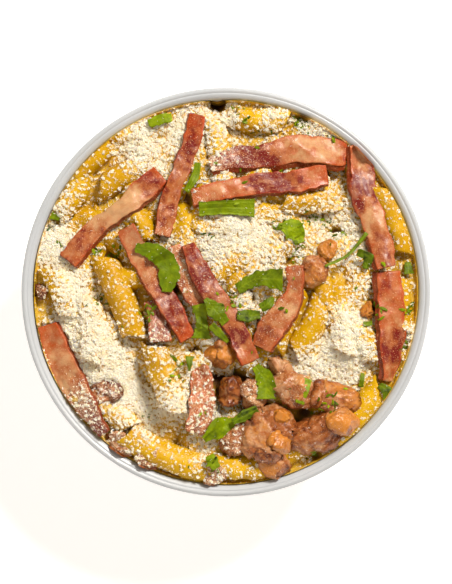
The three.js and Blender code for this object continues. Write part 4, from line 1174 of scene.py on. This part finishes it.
def dropPlaces(count, start, draws):
    found = []
    while len(found) < count:
        angle = draws.uniform(0, math.tau, fall["batch"])
        out = np.sqrt(draws.uniform(0, 1, fall["batch"])) * fall["reach"]
        luck = draws.uniform(0, 1, fall["batch"])
        for x, y, chance in zip(out * np.cos(angle), out * np.sin(angle), luck):
            place, normal, face, _ = surface.ray_cast(Vector((x, y, nowhere)), down)
            if place is None or normal.z < fall["steepest"]:
                continue
            dust = surfaceDust[surfaceFaces[face][0]]
            patch = noise.noise(Vector((x, y, 50)) / fall["patchSize"])
            uneasy = fall["hills"] * hillAt(x, y) + fall["patch"] * patch
            level = min(dust, fall["cap"]) + uneasy * min(1, dust / 0.3)
            keep = max((level - start) / fall["over"], fall["stray"] * dust)
            if chance < keep * min(1, (normal.z - fall["steepest"]) / fall["steepFade"]):
                found.append((place, normal, level))
    return found[:count]


def fleckPlaces(count, start, draws):
    shares = np.array([spot[3] for spot in fleckSpots], float)
    picks = draws.choice(len(fleckSpots), count, p=shares / shares.sum())
    found = []
    for index, pick in enumerate(picks):
        x, y, loose, _ = fleckSpots[pick]
        if index < fleckFall["loose"]:
            x, y, loose = 0, 0, fleckFall["spread"]
        place = None
        while place is None:
            spot = draws.normal(0, loose, 2) + (x, y)
            if np.hypot(*spot) < fleckFall["reach"]:
                place, normal, _, _ = surface.ray_cast(Vector((*spot, nowhere)), down)
        found.append((place, normal, 1.0))
    return found


def unit(vectors):
    return vectors / np.linalg.norm(vectors, axis=1)[:, None]


# Copies of a small shape, each turned, sized and bent out of shape a little
def scatter(name, kind, finish, slotName, order, findPlaces):
    draws = np.random.RandomState(fall["seed"] + order)
    count, sizes, shape, sink, pile, unevenness, start = kind
    places, normals, levels = (np.array(values) for values in zip(*findPlaces(count, start, draws)))
    corners, faces = unitShape(shape)
    size = draws.uniform(*sizes, count) * (0.6 + 0.4 * ease(levels, 0.4, 0.9))
    spin = draws.uniform(0, math.tau, count)
    tilt = draws.normal(0, 0.6, (count, 2))
    up = unit(normals + np.column_stack([tilt, np.zeros(count)]))
    side = unit(np.cross(up, np.column_stack([np.cos(spin), np.sin(spin), np.zeros(count)])))
    ahead = np.cross(side, up)
    bent = corners[None] * (1 + unevenness * draws.uniform(-1, 1, (count, len(corners), 3)))
    bent *= size[:, None, None]
    lift = 0.25 * size - sink + pile * draws.uniform(0, 1, count) * ease(levels, 0.5, 1.2)
    points = places[:, None] + normals[:, None] * lift[:, None, None]
    for axis, toward in enumerate((ahead, side, up)):
        points = points + bent[..., axis:axis + 1] * toward[:, None]
    allFaces = (faces[None] + (np.arange(count) * len(corners))[:, None, None]).reshape(-1, 3)
    mesh = bpy.data.meshes.new(name)
    mesh.from_pydata((points.reshape(-1, 3) * mm).tolist(), [], allFaces.tolist())
    mark(mesh, "tone", np.repeat(draws.uniform(0, 1, count), len(corners)))
    asPiece(name, mesh, finish, slotName)
    mesh.shade_flat()
    print(name, "scattered:", count, "pieces,", len(allFaces), "triangles")


for order, (name, kind) in enumerate(kinds.items()):
    scatter(name, kind, gratedCheese, "grated_cheese", order, dropPlaces)
scatter("parsley_flecks", flecks, parsleyLeaf, "parsley_leaf", len(kinds), fleckPlaces)

# Floor, light and camera

stage = {
    "distance": 1.3, "viewHeight": 0.2139, "rimHeight": 0.06, "film": 36, "floorSize": 3.0, "floorGlow": 0.55,
    "worldPower": 0.28, "worldTint": (1.0, 0.86, 0.7, 1),
    "suns": {  # power, angle, where it shines from, tint
        "key": (4.75, 13.0, (0.39, 0.56, 0.73), (1.0, 0.935, 0.84)),
        "fill": (1.0, 70.0, (-0.5, -0.55, 0.7), (1.0, 0.89, 0.78)),
    },
}


def makeFloor():
    bm = bmesh.new()
    bmesh.ops.create_grid(bm, x_segments=8, y_segments=8, size=stage["floorSize"])
    floor = link("floor", meshFrom(bm))
    finish, tree, shader, where = newFinish("paleFloor", Roughness=0.8, Emission_Color=(1, 1, 1, 1),
                                            Emission_Strength=stage["floorGlow"])
    tone = blend(tree, patches(tree, where, 3.0, 0.2, 0.8), paint(250, 250, 249), paint(246, 246, 245))
    tree.links.new(tone, shader.inputs["Base Color"])
    floor.data.materials.append(finish)


def makeSun(name, power, angle, start, tint):
    lamp = bpy.data.lights.new(name, "SUN")
    lamp.energy = power
    lamp.angle = math.radians(angle)
    lamp.color = tint
    sun = link(name, lamp)
    sun.location = start
    sun.rotation_euler = Vector(start).to_track_quat("Z", "Y").to_euler()


makeFloor()
for name, sun in stage["suns"].items():
    makeSun(name, *sun)

world = bpy.data.worlds.new("softWorld")
world.use_nodes = True
background = world.node_tree.nodes["Background"].inputs
background["Color"].default_value = stage["worldTint"]
background["Strength"].default_value = stage["worldPower"]
bpy.context.scene.world = world
bpy.context.scene.view_settings.view_transform = "Standard"

lens = bpy.data.cameras.new("camera")
lens.lens = stage["film"] * stage["distance"] / stage["viewHeight"]
camera = link("camera", lens)
camera.location = (0, 0, stage["rimHeight"] + stage["distance"])
bpy.context.scene.camera = camera
print("stage set")
